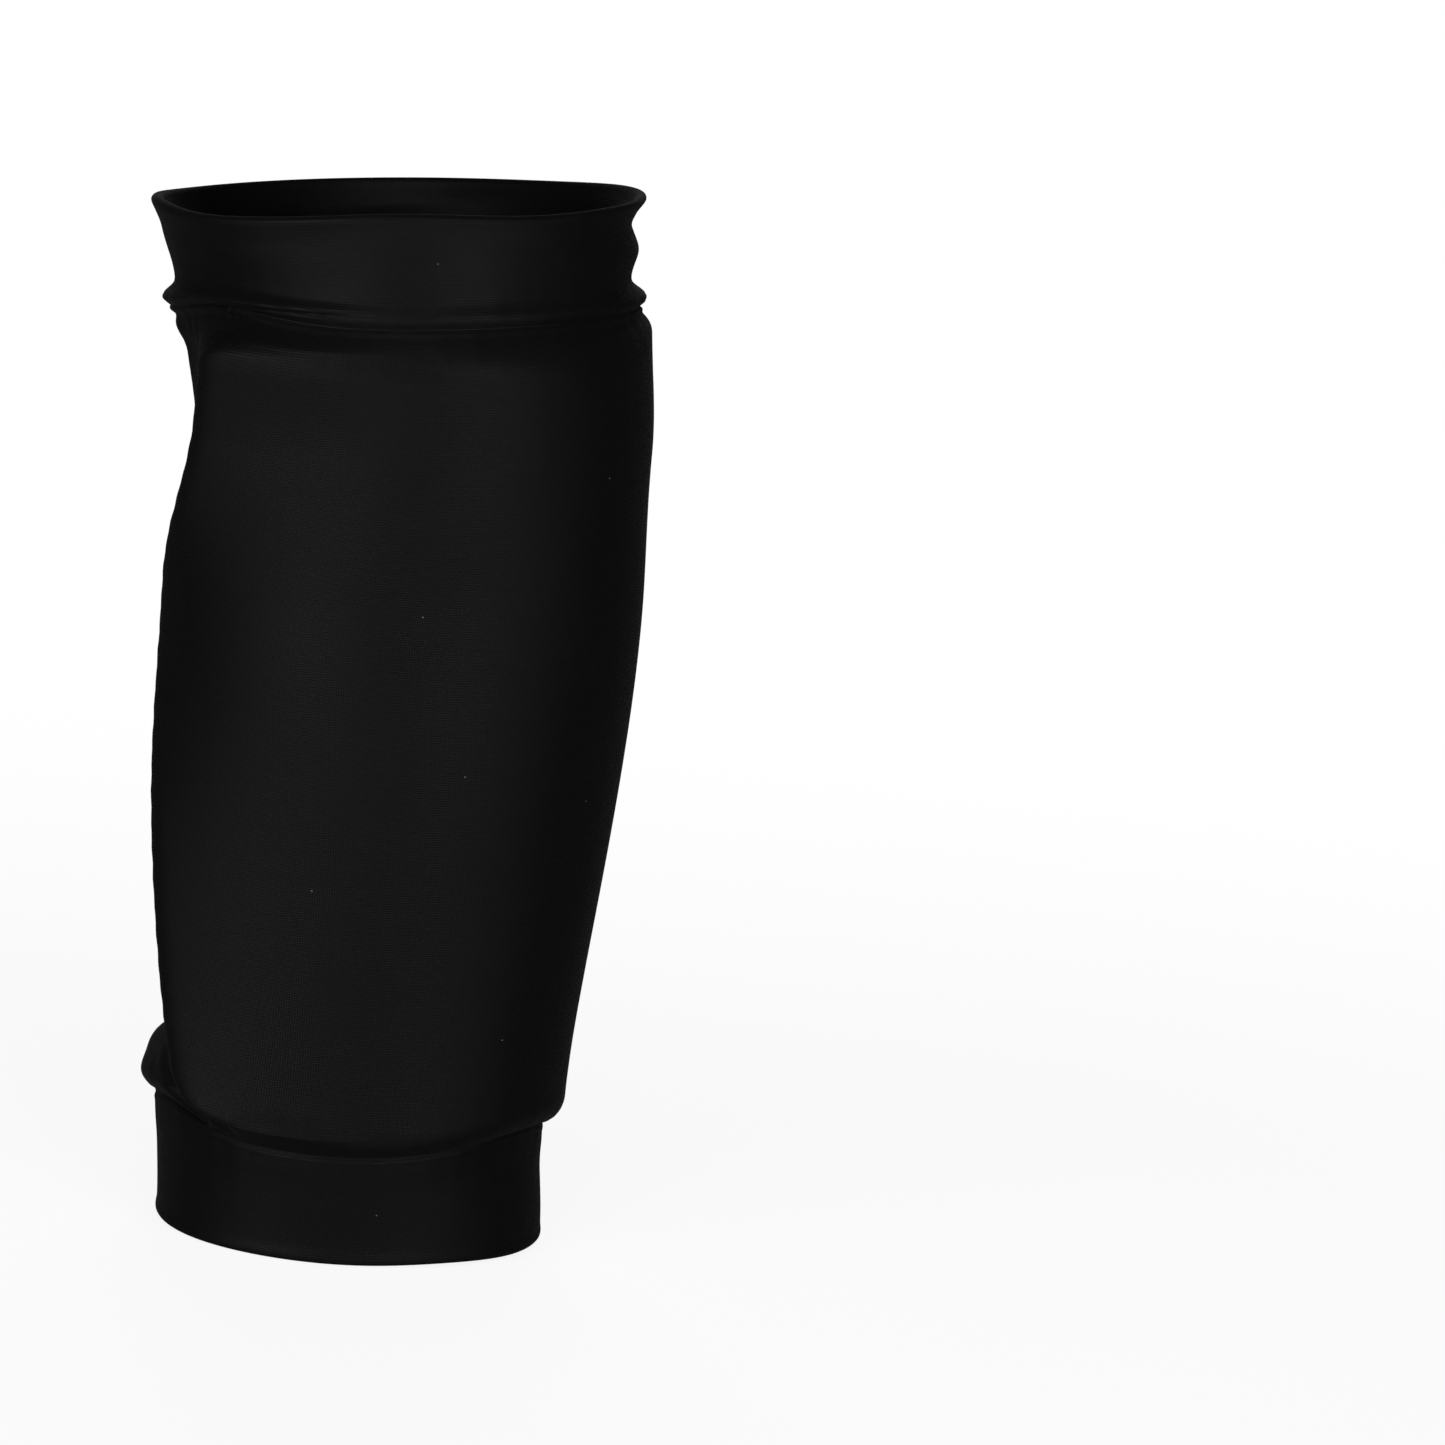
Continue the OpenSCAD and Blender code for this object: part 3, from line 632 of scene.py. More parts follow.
def tube_part(line, radius, ring=False):
    """Six-sided thread along a line of points, closed on itself if it is a ring."""
    sides = THREAD_SIDES
    ahead = np.roll(line, -1, 0) - np.roll(line, 1, 0)
    if not ring:
        ahead[0], ahead[-1] = line[1] - line[0], line[-1] - line[-2]
    ahead /= np.linalg.norm(ahead, axis=1, keepdims=True)
    # The first spoke is any direction across the thread, and each next one turns least from it.
    up = np.empty_like(ahead)
    spoke = np.cross(ahead[0], ahead[-3])
    for i, way in enumerate(ahead):
        spoke = spoke - way * (spoke @ way)
        spoke /= np.linalg.norm(spoke)
        up[i] = spoke
    across = np.cross(ahead, up)
    turns = np.arange(sides) * 2 * np.pi / sides
    spokes = (up[:, None] * np.cos(turns)[None, :, None]
              + across[:, None] * np.sin(turns)[None, :, None])
    points = line[:, None] + radius * spokes
    index = np.arange(points.shape[0] * sides).reshape(-1, sides)
    index = np.hstack([index, index[:, :1]])
    if ring:
        index = np.vstack([index, index[:1]])
    steps = np.linalg.norm(np.diff(line, axis=0, append=line[:1]), axis=1)
    along = np.concatenate([[0], np.cumsum(steps)])[:index.shape[0]]
    uv = np.stack(np.broadcast_arrays(
        np.arange(sides + 1)[None] * radius * 2 * np.pi / sides, along[:, None]), -1)
    mapped = np.arange(uv.shape[0] * uv.shape[1]).reshape(uv.shape[:2])
    faces, loops = [quads(index)], [quads(mapped)]
    if not ring:
        ends = np.array([(3, 2, 1, 0), (5, 4, 3, 0)])
        for row, caps in ((0, ends), (-1, ends[:, ::-1])):
            faces.append(index[row][caps])
            loops.append(mapped[row][caps])
    return points.reshape(-1, 3), np.concatenate(faces), uv.reshape(-1, 2)[np.concatenate(loops)]


def build(name, parts, materials, slots=None):
    """One mesh object from parts, each a list of points, faces and UV corners."""
    points = np.concatenate([part[0] for part in parts])
    starts = np.cumsum([0] + [len(part[0]) for part in parts])
    faces = np.concatenate([part[1] + start for part, start in zip(parts, starts)])
    uvs = np.concatenate([part[2] for part in parts])
    mesh = bpy.data.meshes.new(name)
    mesh.from_pydata(points.tolist(), [], faces.tolist())
    layer = mesh.uv_layers.new(name=UV_NAME)
    layer.data.foreach_set("uv", uvs.astype(np.float32).ravel())
    for look in materials:
        mesh.materials.append(look)
    if slots:
        marks = np.concatenate([np.full(len(p[1]), s) for p, s in zip(parts, slots)])
        mesh.polygons.foreach_set("material_index", marks.astype(np.int32))
    if mesh.validate():
        raise RuntimeError(f"{name} has faces that Blender can't keep")
    piece = bpy.data.objects.new(name, mesh)
    bpy.context.scene.collection.objects.link(piece)
    bpy.ops.object.select_all(action="DESELECT")
    piece.select_set(True)
    bpy.context.view_layer.objects.active = piece
    bpy.ops.object.shade_smooth_by_angle(angle=SMOOTH_ANGLE)
    return piece


def settle(piece, node):
    """Rides a finished piece on the body, in place of the solid that it stands for."""
    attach(piece, BODY)
    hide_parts(node)


# Materials

class Shader:
    """Builds one material's nodes."""

    def __init__(self, name):
        self.material = bpy.data.materials.new(name)
        self.material.use_nodes = True
        self.tree = self.material.node_tree
        self.surface = self.tree.nodes["Principled BSDF"]

    def node(self, kind, *values, **settings):
        """A node of a kind; values go to its inputs in order, as numbers or as links."""
        made = self.tree.nodes.new(kind)
        for key, value in settings.items():
            setattr(made, key, value)
        for socket, value in zip(made.inputs, values):
            self.feed(socket, value)
        return made

    def feed(self, socket, value):
        """Gives a socket its value, as a number, a colour or a link."""
        if isinstance(value, bpy.types.NodeSocket):
            self.tree.links.new(value, socket)
        else:
            socket.default_value = value

    def named(self, kind, inputs, **settings):
        """A node of a kind; values go to its inputs by their names."""
        made = self.node(kind, **settings)
        for name, value in inputs.items():
            self.feed(made.inputs[name], value)
        return made

    def math(self, operation, *values):
        return self.node("ShaderNodeMath", *values, operation=operation).outputs[0]

    def wave(self, value, pitch):
        """Sine wave along a length."""
        return self.math("SINE", self.math("MULTIPLY", value, 2 * math.pi / pitch))

    def noise(self, place, scale, detail, roughness=0.5):
        made = self.named("ShaderNodeTexNoise", {
            "Vector": place, "Scale": scale, "Detail": detail, "Roughness": roughness})
        return made.outputs["Fac"]

    def cells(self, place, scale, dimensions="3D"):
        """Distance from the middle of the nearest of many scattered cells."""
        made = self.named("ShaderNodeTexVoronoi", {"Vector": place, "Scale": scale},
                          voronoi_dimensions=dimensions)
        return made.outputs["Distance"]

    def blend(self, factor, first, second):
        """A colour between two colours."""
        made = self.node("ShaderNodeMix", data_type="RGBA")
        for value, socket in ((factor, 0), (first, 6), (second, 7)):
            self.feed(made.inputs[socket], value)
        return made.outputs[2]

    def range(self, value, low, high, to_low, to_high, shape="LINEAR"):
        """A value moved from one range to another."""
        return self.node("ShaderNodeMapRange", value, low, high, to_low, to_high,
                         interpolation_type=shape).outputs[0]

    def uv(self):
        return self.node("ShaderNodeUVMap", uv_map=UV_NAME).outputs[0]

    def place(self):
        return self.node("ShaderNodeTexCoord").outputs["Object"]

    def split(self, vector):
        return self.node("ShaderNodeSeparateXYZ", vector).outputs[:2]

    def bump(self, height, depth, strength):
        made = self.named("ShaderNodeBump", {
            "Strength": strength, "Distance": depth, "Height": height})
        self.feed(self.surface.inputs["Normal"], made.outputs[0])

    def set(self, **values):
        """Inputs of the surface, by their names with spaces written as underscores."""
        for name, value in values.items():
            self.feed(self.surface.inputs[name.replace("_", " ")], value)


def opaque(rgb, shade=1):
    """A colour, or a darker shade of it, with full alpha."""
    return (*(shade * part for part in rgb), 1)


def stitches(shader, pitch):
    """Height of a plain knit: courses of V-shaped stitches, along the cloth's own UV."""
    across, up = shader.split(shader.uv())
    # Columns in the height of a stitch, slant of its two legs and depth between columns.
    columns, slant, depth = 1.15, 0.7, 0.6
    column = shader.math("MULTIPLY", across, columns / pitch)
    middle = shader.math("ABSOLUTE", shader.math("SUBTRACT", shader.math("FRACT", column), 0.5))
    course = shader.math("MULTIPLY_ADD", up, 1 / pitch, shader.math("MULTIPLY", middle, slant))
    yarn = shader.math("MULTIPLY_ADD", shader.wave(course, 1), 0.5, 0.5)
    valley = shader.math("POWER", shader.math("MULTIPLY", middle, 2.0), 3.0)
    return shader.math("MULTIPLY", yarn, shader.math("MULTIPLY_ADD", valley, -depth, 1.0))


def knit_material(finish):
    """Black satin knit, with fine stitches, a slight mottle and a few specks of lint."""
    shader = Shader("satin_knit")
    height = stitches(shader, finish.knit_pitch)
    place = shader.place()
    mottle = shader.noise(place, 60, 3, 0.6)
    grain = shader.noise(place, 2200, 1, 0.5)
    # The colour is darker in the stitches' valleys, as painted shade in the knit's hollows, and
    # varies at random with the mottle and grain.
    light = shader.math("MULTIPLY_ADD", height, 0.6, shader.math("MULTIPLY", mottle, 0.3))
    mottle_grain_and_stitch_shade = shader.math("MULTIPLY_ADD", grain, 0.5, shader.math("SUBTRACT", light, 0.2))
    cloth = shader.blend(mottle_grain_and_stitch_shade, opaque(finish.knit_mottle_and_stitch_shade), opaque(finish.knit_colour))
    specks = shader.cells(shader.uv(), 1 / finish.lint_spacing, "2D")
    size = finish.lint_size / finish.lint_spacing
    lint = shader.range(specks, size, 1.5 * size, 1, 0)
    # Seen at a slant, the yarns hide one another and the satin gloss is lost.
    slant = shader.node("ShaderNodeLayerWeight").outputs["Facing"]
    shader.set(
        Base_Color=shader.blend(lint, cloth, opaque(finish.lint_colour)),
        Roughness=shader.range(slant, 0.03, 0.42, finish.knit_roughness, 1, "SMOOTHSTEP"),
        Specular_IOR_Level=finish.knit_gloss)
    relief = shader.math("MULTIPLY_ADD", grain, 0.5, height)
    shader.bump(relief, finish.knit_relief, 0.46)
    return shader.material


def lining_material(finish):
    """Brushed lining: coarser stitches under a soft nap."""
    shader = Shader("brushed_lining")
    height = stitches(shader, finish.lining_pitch)
    nap = shader.noise(shader.place(), 900, 4, 0.65)
    # The colour is darker in the stitches' valleys, as painted shade, and varies at random with
    # the nap.
    tone = shader.math("MULTIPLY_ADD", height, 0.4, shader.math("MULTIPLY", nap, 0.6))
    shader.set(
        Base_Color=shader.blend(
            tone, opaque(finish.knit_mottle_and_stitch_shade), opaque(finish.lining_colour)),
        Roughness=0.85, Specular_IOR_Level=0.15, Sheen_Weight=0.04, Sheen_Roughness=0.5)
    shader.bump(shader.math("ADD", height, nap), 0.2 * MM, 0.4)
    return shader.material


def foam_material(finish):
    """Closed-cell foam with a fine skin of cells."""
    shader = Shader("closed_cell_foam")
    place = shader.place()
    cell = shader.cells(place, 900)
    mottle = shader.noise(place, 80, 3)
    rgb = finish.foam_colour
    shader.set(
        Base_Color=shader.blend(mottle, opaque(rgb, 0.7), opaque(rgb)),
        Roughness=shader.range(cell, 0, 1, 0.7, 0.9), Specular_IOR_Level=0.3)
    shader.bump(cell, 0.3 * MM, 0.5)
    return shader.material


def elastic_material(finish):
    """Woven elastic: fine upright yarns between the ribs."""
    shader = Shader("ribbed_elastic")
    across, up = shader.split(shader.uv())
    weave = shader.math("MULTIPLY", shader.wave(across, 0.6 * MM), shader.wave(up, 0.8 * MM))
    rgb = finish.elastic_colour
    # The colour is darker where the weave's relief is low: painted shade in its hollows.
    shader.set(
        Base_Color=shader.blend(
            shader.range(weave, -1, 1, 0, 1), opaque(rgb, 0.6), opaque(rgb)),
        Roughness=0.7, Specular_IOR_Level=0.25)
    shader.bump(weave, 0.15 * MM, 0.5)
    return shader.material


def thread_material(finish):
    """Twisted overlock thread."""
    shader = Shader("overlock_thread")
    across, up = shader.split(shader.uv())
    # Plies in a metre, round the thread and along it.
    around, along = 450, 800
    twist = shader.math("MULTIPLY_ADD", across, around, shader.math("MULTIPLY", up, along))
    ply = shader.math("MULTIPLY_ADD", shader.wave(twist, 1), 0.5, 0.5)
    rgb = finish.thread_colour
    # The colour is darker in the grooves between the plies: painted shade.
    shader.set(
        Base_Color=shader.blend(ply, opaque(rgb, 0.5), opaque(rgb)),
        Roughness=0.6, Specular_IOR_Level=0.25)
    shader.bump(ply, 0.08 * MM, 0.5)
    return shader.material


MAKERS = {
    "satin_knit": knit_material, "brushed_lining": lining_material,
    "closed_cell_foam": foam_material, "ribbed_elastic": elastic_material,
    "overlock_thread": thread_material,
}


def material(name):
    """A material by its name, made the first time that it is asked for."""
    return bpy.data.materials.get(name) or MAKERS[name](bpy.context.scene.guard_finish)


# Parts that several pieces share

def cuff_part(sleeve, height, level_of, folds, flare, way):
    """Doubled cuff: from the seam along its face, over the fold at the rim and back inside.

    The way is 1 for a cuff that goes up from its seam, and -1 for one that goes down.
    """
    cloth = sleeve.cloth
    bend = sleeve.cuff_face / 2
    straight = height - bend
    # The power brings the rows closer to the seam.
    face_rises = straight * crowded(*CUFF_FACE_ROWS) ** 1.25 + SEWN
    face_rises[-1] = straight
    inner_rises = np.linspace(straight, sleeve.seam_stop, CUFF_INSIDE_ROWS)
    arc = np.linspace(0, np.pi, CUFF_FOLD_ROWS)[1:-1]

    def run(face, fold, inside):
        """A value for each row: on the face, over the fold and on the inside."""
        return np.concatenate([np.broadcast_to(face, face_rises.shape), fold,
                               np.broadcast_to(inside, inner_rises.shape)])

    thin = bend - cloth.knit
    rises = run(face_rises, straight + bend * np.sin(arc), inner_rises)
    back_rises = run(face_rises, straight + thin * np.sin(arc), inner_rises)
    offs = run(sleeve.cuff_face, bend + bend * np.cos(arc), 0)
    back_offs = run(sleeve.cuff_back, bend + thin * np.cos(arc), cloth.knit)
    # How far each row takes part in the folds of the face.
    outside = run(1, np.cos(arc / 2) ** 2, 0)
    lift = mix(sleeve.seam_lift - sleeve.cuff_back, 0,
               ease((rises - sleeve.seam_stop) / cloth.seam_slope))
    angles = np.pi + 2 * np.pi * crowded(*CUFF_COLUMNS)
    column = angles[None, :-1]
    extra = outside[:, None] * (lift[:, None] + folds(column, rises[:, None]))

    def laid(rise, off):
        level = level_of(rise[:, None], column)
        return sleeve.place(column, level, off[:, None] + extra + flare(rise[:, None], column))

    along = np.concatenate([[0], np.cumsum(np.hypot(np.diff(rises), np.diff(offs)))])
    uv = np.stack(np.broadcast_arrays(angles[None] * PATTERN_RADIUS, along[:, None]), -1)
    outer, inner = laid(rises, offs), laid(back_rises, back_offs)
    return solid_part(outer[::way], inner[::way], uv[::way], ring=True)


def layer_part(sleeve, angles, levels, inside, outside, across=None):
    """Closed layer between two offsets, through angles and levels that grids or lists give.

    Its pattern runs across by the lengths that are given, or else by the angles.
    """
    if across is None:
        across = angles * PATTERN_RADIUS
    uv = np.stack(np.broadcast_arrays(across, levels), -1)
    return solid_part(sleeve.place(angles, levels, outside),
                      sleeve.place(angles, levels, inside), uv)


def seam_to_seam(sleeve, rows):
    """Levels of a cloth that is sewn to both cuffs, as a column."""
    levels = mix(sleeve.lower_seam, sleeve.upper_seam, crowded(*rows))
    levels[0] += SEWN
    levels[-1] -= SEWN
    return levels[:, None]


def side_to_side(columns):
    """Shares of a half width from the left edge, -1, to the right edge, 1, as a row."""
    return (2 * crowded(*columns) - 1)[None]


def overlock_path(turns, squareness=0.55, ring=False):
    """Overlock thread: shares along the seam, and places to its side and front from -1 to 1."""
    steps = turns * STITCH_STEPS
    t = np.arange(steps if ring else steps + 1) / steps
    turn = 2 * np.pi * turns * t
    side, front = np.cos(turn), np.sin(turn)
    return (t, np.sign(side) * np.abs(side) ** squareness,
            np.sign(front) * np.abs(front) ** squareness)


def sewn_piece(node, strip, thread):
    """Allowance of a seam, with the thread that is sewn over it."""
    piece = build(f"{node}_overlock", [strip, thread],
                  [material("satin_knit"), material("overlock_thread")], [0, 1])
    settle(piece, node)


# Operators, one for each piece or group of like pieces

class GUARD_OT_foam_pad(bpy.types.Operator):
    """Foam pad that fills the cover"""
    bl_idname = "guard.foam_pad"
    bl_label = "Foam Pad"

    def execute(self, context):
        sleeve = Sleeve(context.scene)
        cloth, pad = sleeve.cloth, sleeve.pad
        rows, columns = FOAM_GRID
        levels = mix(sleeve.foam_low, sleeve.foam_high, crowded(*rows))[:, None]
        widths = sleeve.foam_half(levels) * side_to_side(columns)
        angles = sleeve.pad_angle(widths, levels)
        base = cloth.knit + cloth.gap
        top = np.maximum(sleeve.cover_rise(widths, levels) - cloth.gap, base + pad.edge_thickness)
        part = layer_part(sleeve, angles, levels, base, top, widths)
        piece = build("foam_pad_body", [part], [material("closed_cell_foam")])
        settle(piece, "foam_pad")
        return {"FINISHED"}


class GUARD_OT_front_cover(bpy.types.Operator):
    """Satin knit face drawn over the pad"""
    bl_idname = "guard.front_cover"
    bl_label = "Front Cover"

    def execute(self, context):
        sleeve = Sleeve(context.scene)
        cloth = sleeve.cloth
        rows, columns = COVER_GRID
        levels = seam_to_seam(sleeve, rows)
        edge = sleeve.side_seam(levels) - SEWN
        widths = edge * side_to_side(columns)
        angles = sleeve.pad_angle(widths, levels)
        rise = sleeve.cover_rise(widths, levels)
        part = layer_part(sleeve, angles, levels, rise, rise + cloth.knit, widths)
        piece = build("front_cover_knit", [part], [material("satin_knit")])
        settle(piece, "front_cover")
        return {"FINISHED"}


class GUARD_OT_pad_lining(bpy.types.Operator):
    """Brushed cloth between the foam and the leg"""
    bl_idname = "guard.pad_lining"
    bl_label = "Pad Lining"

    def execute(self, context):
        sleeve = Sleeve(context.scene)
        cloth = sleeve.cloth
        low, high = sleeve.lower_seam + sleeve.seam_stop, sleeve.upper_seam - sleeve.seam_stop
        rows, columns = LINING_GRID
        levels = mix(low, high, crowded(*rows))[:, None]
        edge = sleeve.side_seam(levels) - cloth.seam_half / 2 - 2 * cloth.gap
        widths = edge * side_to_side(columns)
        angles = sleeve.pad_angle(widths, levels)
        near = np.minimum(np.minimum(levels - low, high - levels), edge - np.abs(widths))
        # Its puckers are flatter than the cover's, and go inwards.
        inner = -0.6 * np.abs(sleeve.puckers(widths + levels, near))
        part = layer_part(sleeve, angles, levels, inner, inner + cloth.knit, widths)
        piece = build("pad_lining_cloth", [part], [material("brushed_lining")])
        settle(piece, "pad_lining")
        return {"FINISHED"}


class GUARD_OT_back_panel(bpy.types.Operator):
    """Thin knit that closes the sleeve behind the leg"""
    bl_idname = "guard.back_panel"
    bl_label = "Back Panel"

    def execute(self, context):
        sleeve = Sleeve(context.scene)
        cloth = sleeve.cloth
        rows, columns = BACK_GRID
        levels = seam_to_seam(sleeve, rows)
        radius = sleeve.radius(levels)
        start = (sleeve.side_seam(levels) + SEWN) / radius
        angles = mix(start, 2 * np.pi - start, crowded(*columns)[None])
        side = (np.pi - np.abs(np.pi - angles) - start) * radius
        angles = angles + sleeve.pad_angle(0, levels)
        rise = sleeve.back_rise(angles, levels, side)
        part = layer_part(sleeve, angles, levels, rise, rise + cloth.knit, angles * radius)
        piece = build("back_panel_knit", [part], [material("satin_knit")])
        settle(piece, "back_panel")
        return {"FINISHED"}


class GUARD_OT_cuffs(bpy.types.Operator):
    """Doubled knit cuffs, folded at their rims"""
    bl_idname = "guard.cuffs"
    bl_label = "Cuffs"

    def execute(self, context):
        sleeve = Sleeve(context.scene)
        self.upper(sleeve)
        self.lower(sleeve)
        return {"FINISHED"}

    def upper(self, sleeve):
        leg, folds = sleeve.leg, sleeve.folds
        height = leg.upper_cuff

        def level_of(rise, angle):
            wave = sleeve.rim(angle, UPPER_RIM_WAVES)
            return sleeve.upper_seam + rise + wave * ease(rise / height)

        def flare(rise, angle):
            to_rim = height - rise
            side = np.clip(np.sin(angle), 0, 1) ** 3
            curl = folds.rim_curl * side * (1 - ease(to_rim / folds.rim_curl_height))
            return sleeve.flare(angle, to_rim) + curl

        part = cuff_part(sleeve, height, level_of, sleeve.upper_folds, flare, 1)
        piece = build("upper_cuff_knit", [part], [material("satin_knit")])
        self.declare(sleeve, piece, leg.upper_rim_width, height, "upper")

    def lower(self, sleeve):
        leg = sleeve.leg
        height = leg.lower_cuff

        def level_of(rise, angle):
            wave = sleeve.rim(angle, LOWER_RIM_WAVES)
            return np.maximum(0, sleeve.lower_seam - rise + wave * ease(rise / height))

        def flare(rise, angle):
            return 0

        part = cuff_part(sleeve, height, level_of, sleeve.lower_folds, flare, -1)
        piece = build("lower_cuff_knit", [part], [material("satin_knit")])
        self.declare(sleeve, piece, leg.lower_rim_width, height, "lower")

    def declare(self, sleeve, piece, width, height, place):
        settle(piece, f"{place}_cuff")


class GUARD_OT_elastics(bpy.types.Operator):
    """Ribbed elastics inside the cuffs, and the closing seams between their ends"""
    bl_idname = "guard.elastics"
    bl_label = "Cuff Elastics and Joins"

    def execute(self, context):
        sleeve = Sleeve(context.scene)
        leg, cloth = sleeve.leg, sleeve.cloth
        # An elastic ends this far from the rim, and as far from the seam's allowance.
        far = 2 * MM
        near = sleeve.seam_stop + far
        upper = (sleeve.upper_seam + near, leg.sleeve_height - far)
        lower = (far, sleeve.lower_seam - near)
        rib_depth = 0.12 * cloth.elastic

        for place, (low, high) in (("upper", upper), ("lower", lower)):
            levels = np.linspace(low, high, ELASTIC_ROWS)[:, None]
            join = (cloth.join_half + cloth.gap) / sleeve.at(low, HALF)
            angles = np.linspace(np.pi + join, 3 * np.pi - join, ELASTIC_COLUMNS)[None]
            inside = cloth.knit + cloth.gap + sleeve.flare(angles, leg.sleeve_height - levels)
            rib = rib_depth * np.cos(2 * np.pi * (levels - low) / cloth.rib_pitch)
            part = layer_part(sleeve, angles, levels, inside + rib_depth + rib,
                              inside + cloth.elastic - rib_depth + rib)
            piece = build(f"{place}_cuff_elastic_band", [part], [material("ribbed_elastic")])
            settle(piece, f"{place}_cuff_elastic")
            self.join(sleeve, place, low, high)
        return {"FINISHED"}

    def join(self, sleeve, place, low, high):
        cloth = sleeve.cloth
        strip_half, loop_half, thread, end = 0.15 * MM, 0.2 * MM, 0.16 * MM, 0.3 * MM
        radius = float(sleeve.at(low, HALF))
        half = cloth.join_half - cloth.thread

        def middle(level):
            flared = sleeve.flare(np.pi, sleeve.leg.sleeve_height - level)
            return cloth.knit + cloth.gap + cloth.elastic / 2 + flared

        levels = np.linspace(low, high, JOIN_ROWS)[:, None]
        angles = np.pi + np.linspace(-half, half, JOIN_COLUMNS)[None] / radius
        strip = layer_part(sleeve, angles, levels, middle(levels) - strip_half,
                           middle(levels) + strip_half)
        t, side, front = overlock_path(round((high - low) / cloth.stitch), squareness=1)
        level = mix(low + end, high - end, t)
        line = sleeve.place(np.pi + half * side / radius, level,
                            middle(level) + loop_half * front)
        sewn_piece(f"{place}_cuff_join", strip, tube_part(line, thread))


class GUARD_OT_seams(bpy.types.Operator):
    """Overlocked allowances inside the four seams of the sleeve"""
    bl_idname = "guard.seams"
    bl_label = "Overlocked Seams"

    def execute(self, context):
        sleeve = Sleeve(context.scene)
        self.ring(sleeve, "upper", sleeve.upper_seam, True)
        self.ring(sleeve, "lower", sleeve.lower_seam, False)
        self.strip(sleeve, "right", 1)
        self.strip(sleeve, "left", -1)
        return {"FINISHED"}

    def ring(self, sleeve, place, level, rolled):
        cloth = sleeve.cloth
        half = cloth.seam_half - cloth.thread
        core = sleeve.seam_core / 2
        # The upper allowance follows the cuff's roll by this share of it.
        follow = 0.45 if rolled else 0

        def off(angle, across):
            return sleeve.seam_middle + follow * sleeve.roll(angle, np.maximum(across, 0))

        angles = np.linspace(0, 2 * np.pi, RING_COLUMNS)
        across = np.linspace(-half, half, SEAM_ACROSS)[:, None]
        column = angles[None, :-1]
        outer = sleeve.place(column, level + across, off(column, across) + core)
        inner = sleeve.place(column, level + across, off(column, across) - core)
        uv = np.stack(np.broadcast_arrays(angles[None] * PATTERN_RADIUS, across), -1)
        strip = solid_part(outer, inner, uv, ring=True)
        turns = round(2 * np.pi * float(sleeve.at(level, HALF)) / cloth.stitch)
        t, side, front = overlock_path(turns, ring=True)
        angle, side = 2 * np.pi * t, half * side
        line = sleeve.place(angle, level + side,
                            off(angle, side) + (core + cloth.thread) * front)
        sewn_piece(f"{place}_seam", strip, tube_part(line, cloth.thread, ring=True))

    def strip(self, sleeve, place, way):
        cloth = sleeve.cloth
        low, high = sleeve.lower_seam + sleeve.seam_stop, sleeve.upper_seam - sleeve.seam_stop
        # The allowance lies mostly past the seam, away from the foam.
        centre, half = 0.6 * cloth.seam_half, 1.1 * cloth.seam_half - cloth.thread
        middle, core = sleeve.seam_middle, sleeve.seam_core / 2
        levels = np.linspace(low, high, SIDE_SEAM_ROWS)[:, None]
        across = np.linspace(-half, half, SEAM_ACROSS)[None]

        def angle_at(level, shift):
            return sleeve.pad_angle(way * (sleeve.side_seam(level) + centre) + shift, level)

        strip = layer_part(sleeve, angle_at(levels, across), levels, middle - core, middle + core)
        t, side, front = overlock_path(round((high - low) / cloth.stitch))
        level = mix(low + cloth.thread, high - cloth.thread, t)
        line = sleeve.place(angle_at(level, half * side), level,
                            middle + (core + cloth.thread) * front)
        sewn_piece(f"{place}_side_seam", strip, tube_part(line, cloth.thread))


# Stage

def heading(azimuth, elevation):
    """Direction from the guard at an azimuth, from the front towards +X, and an elevation."""
    level = math.cos(elevation)
    return Vector((math.sin(azimuth) * level, -math.cos(azimuth) * level, math.sin(elevation)))


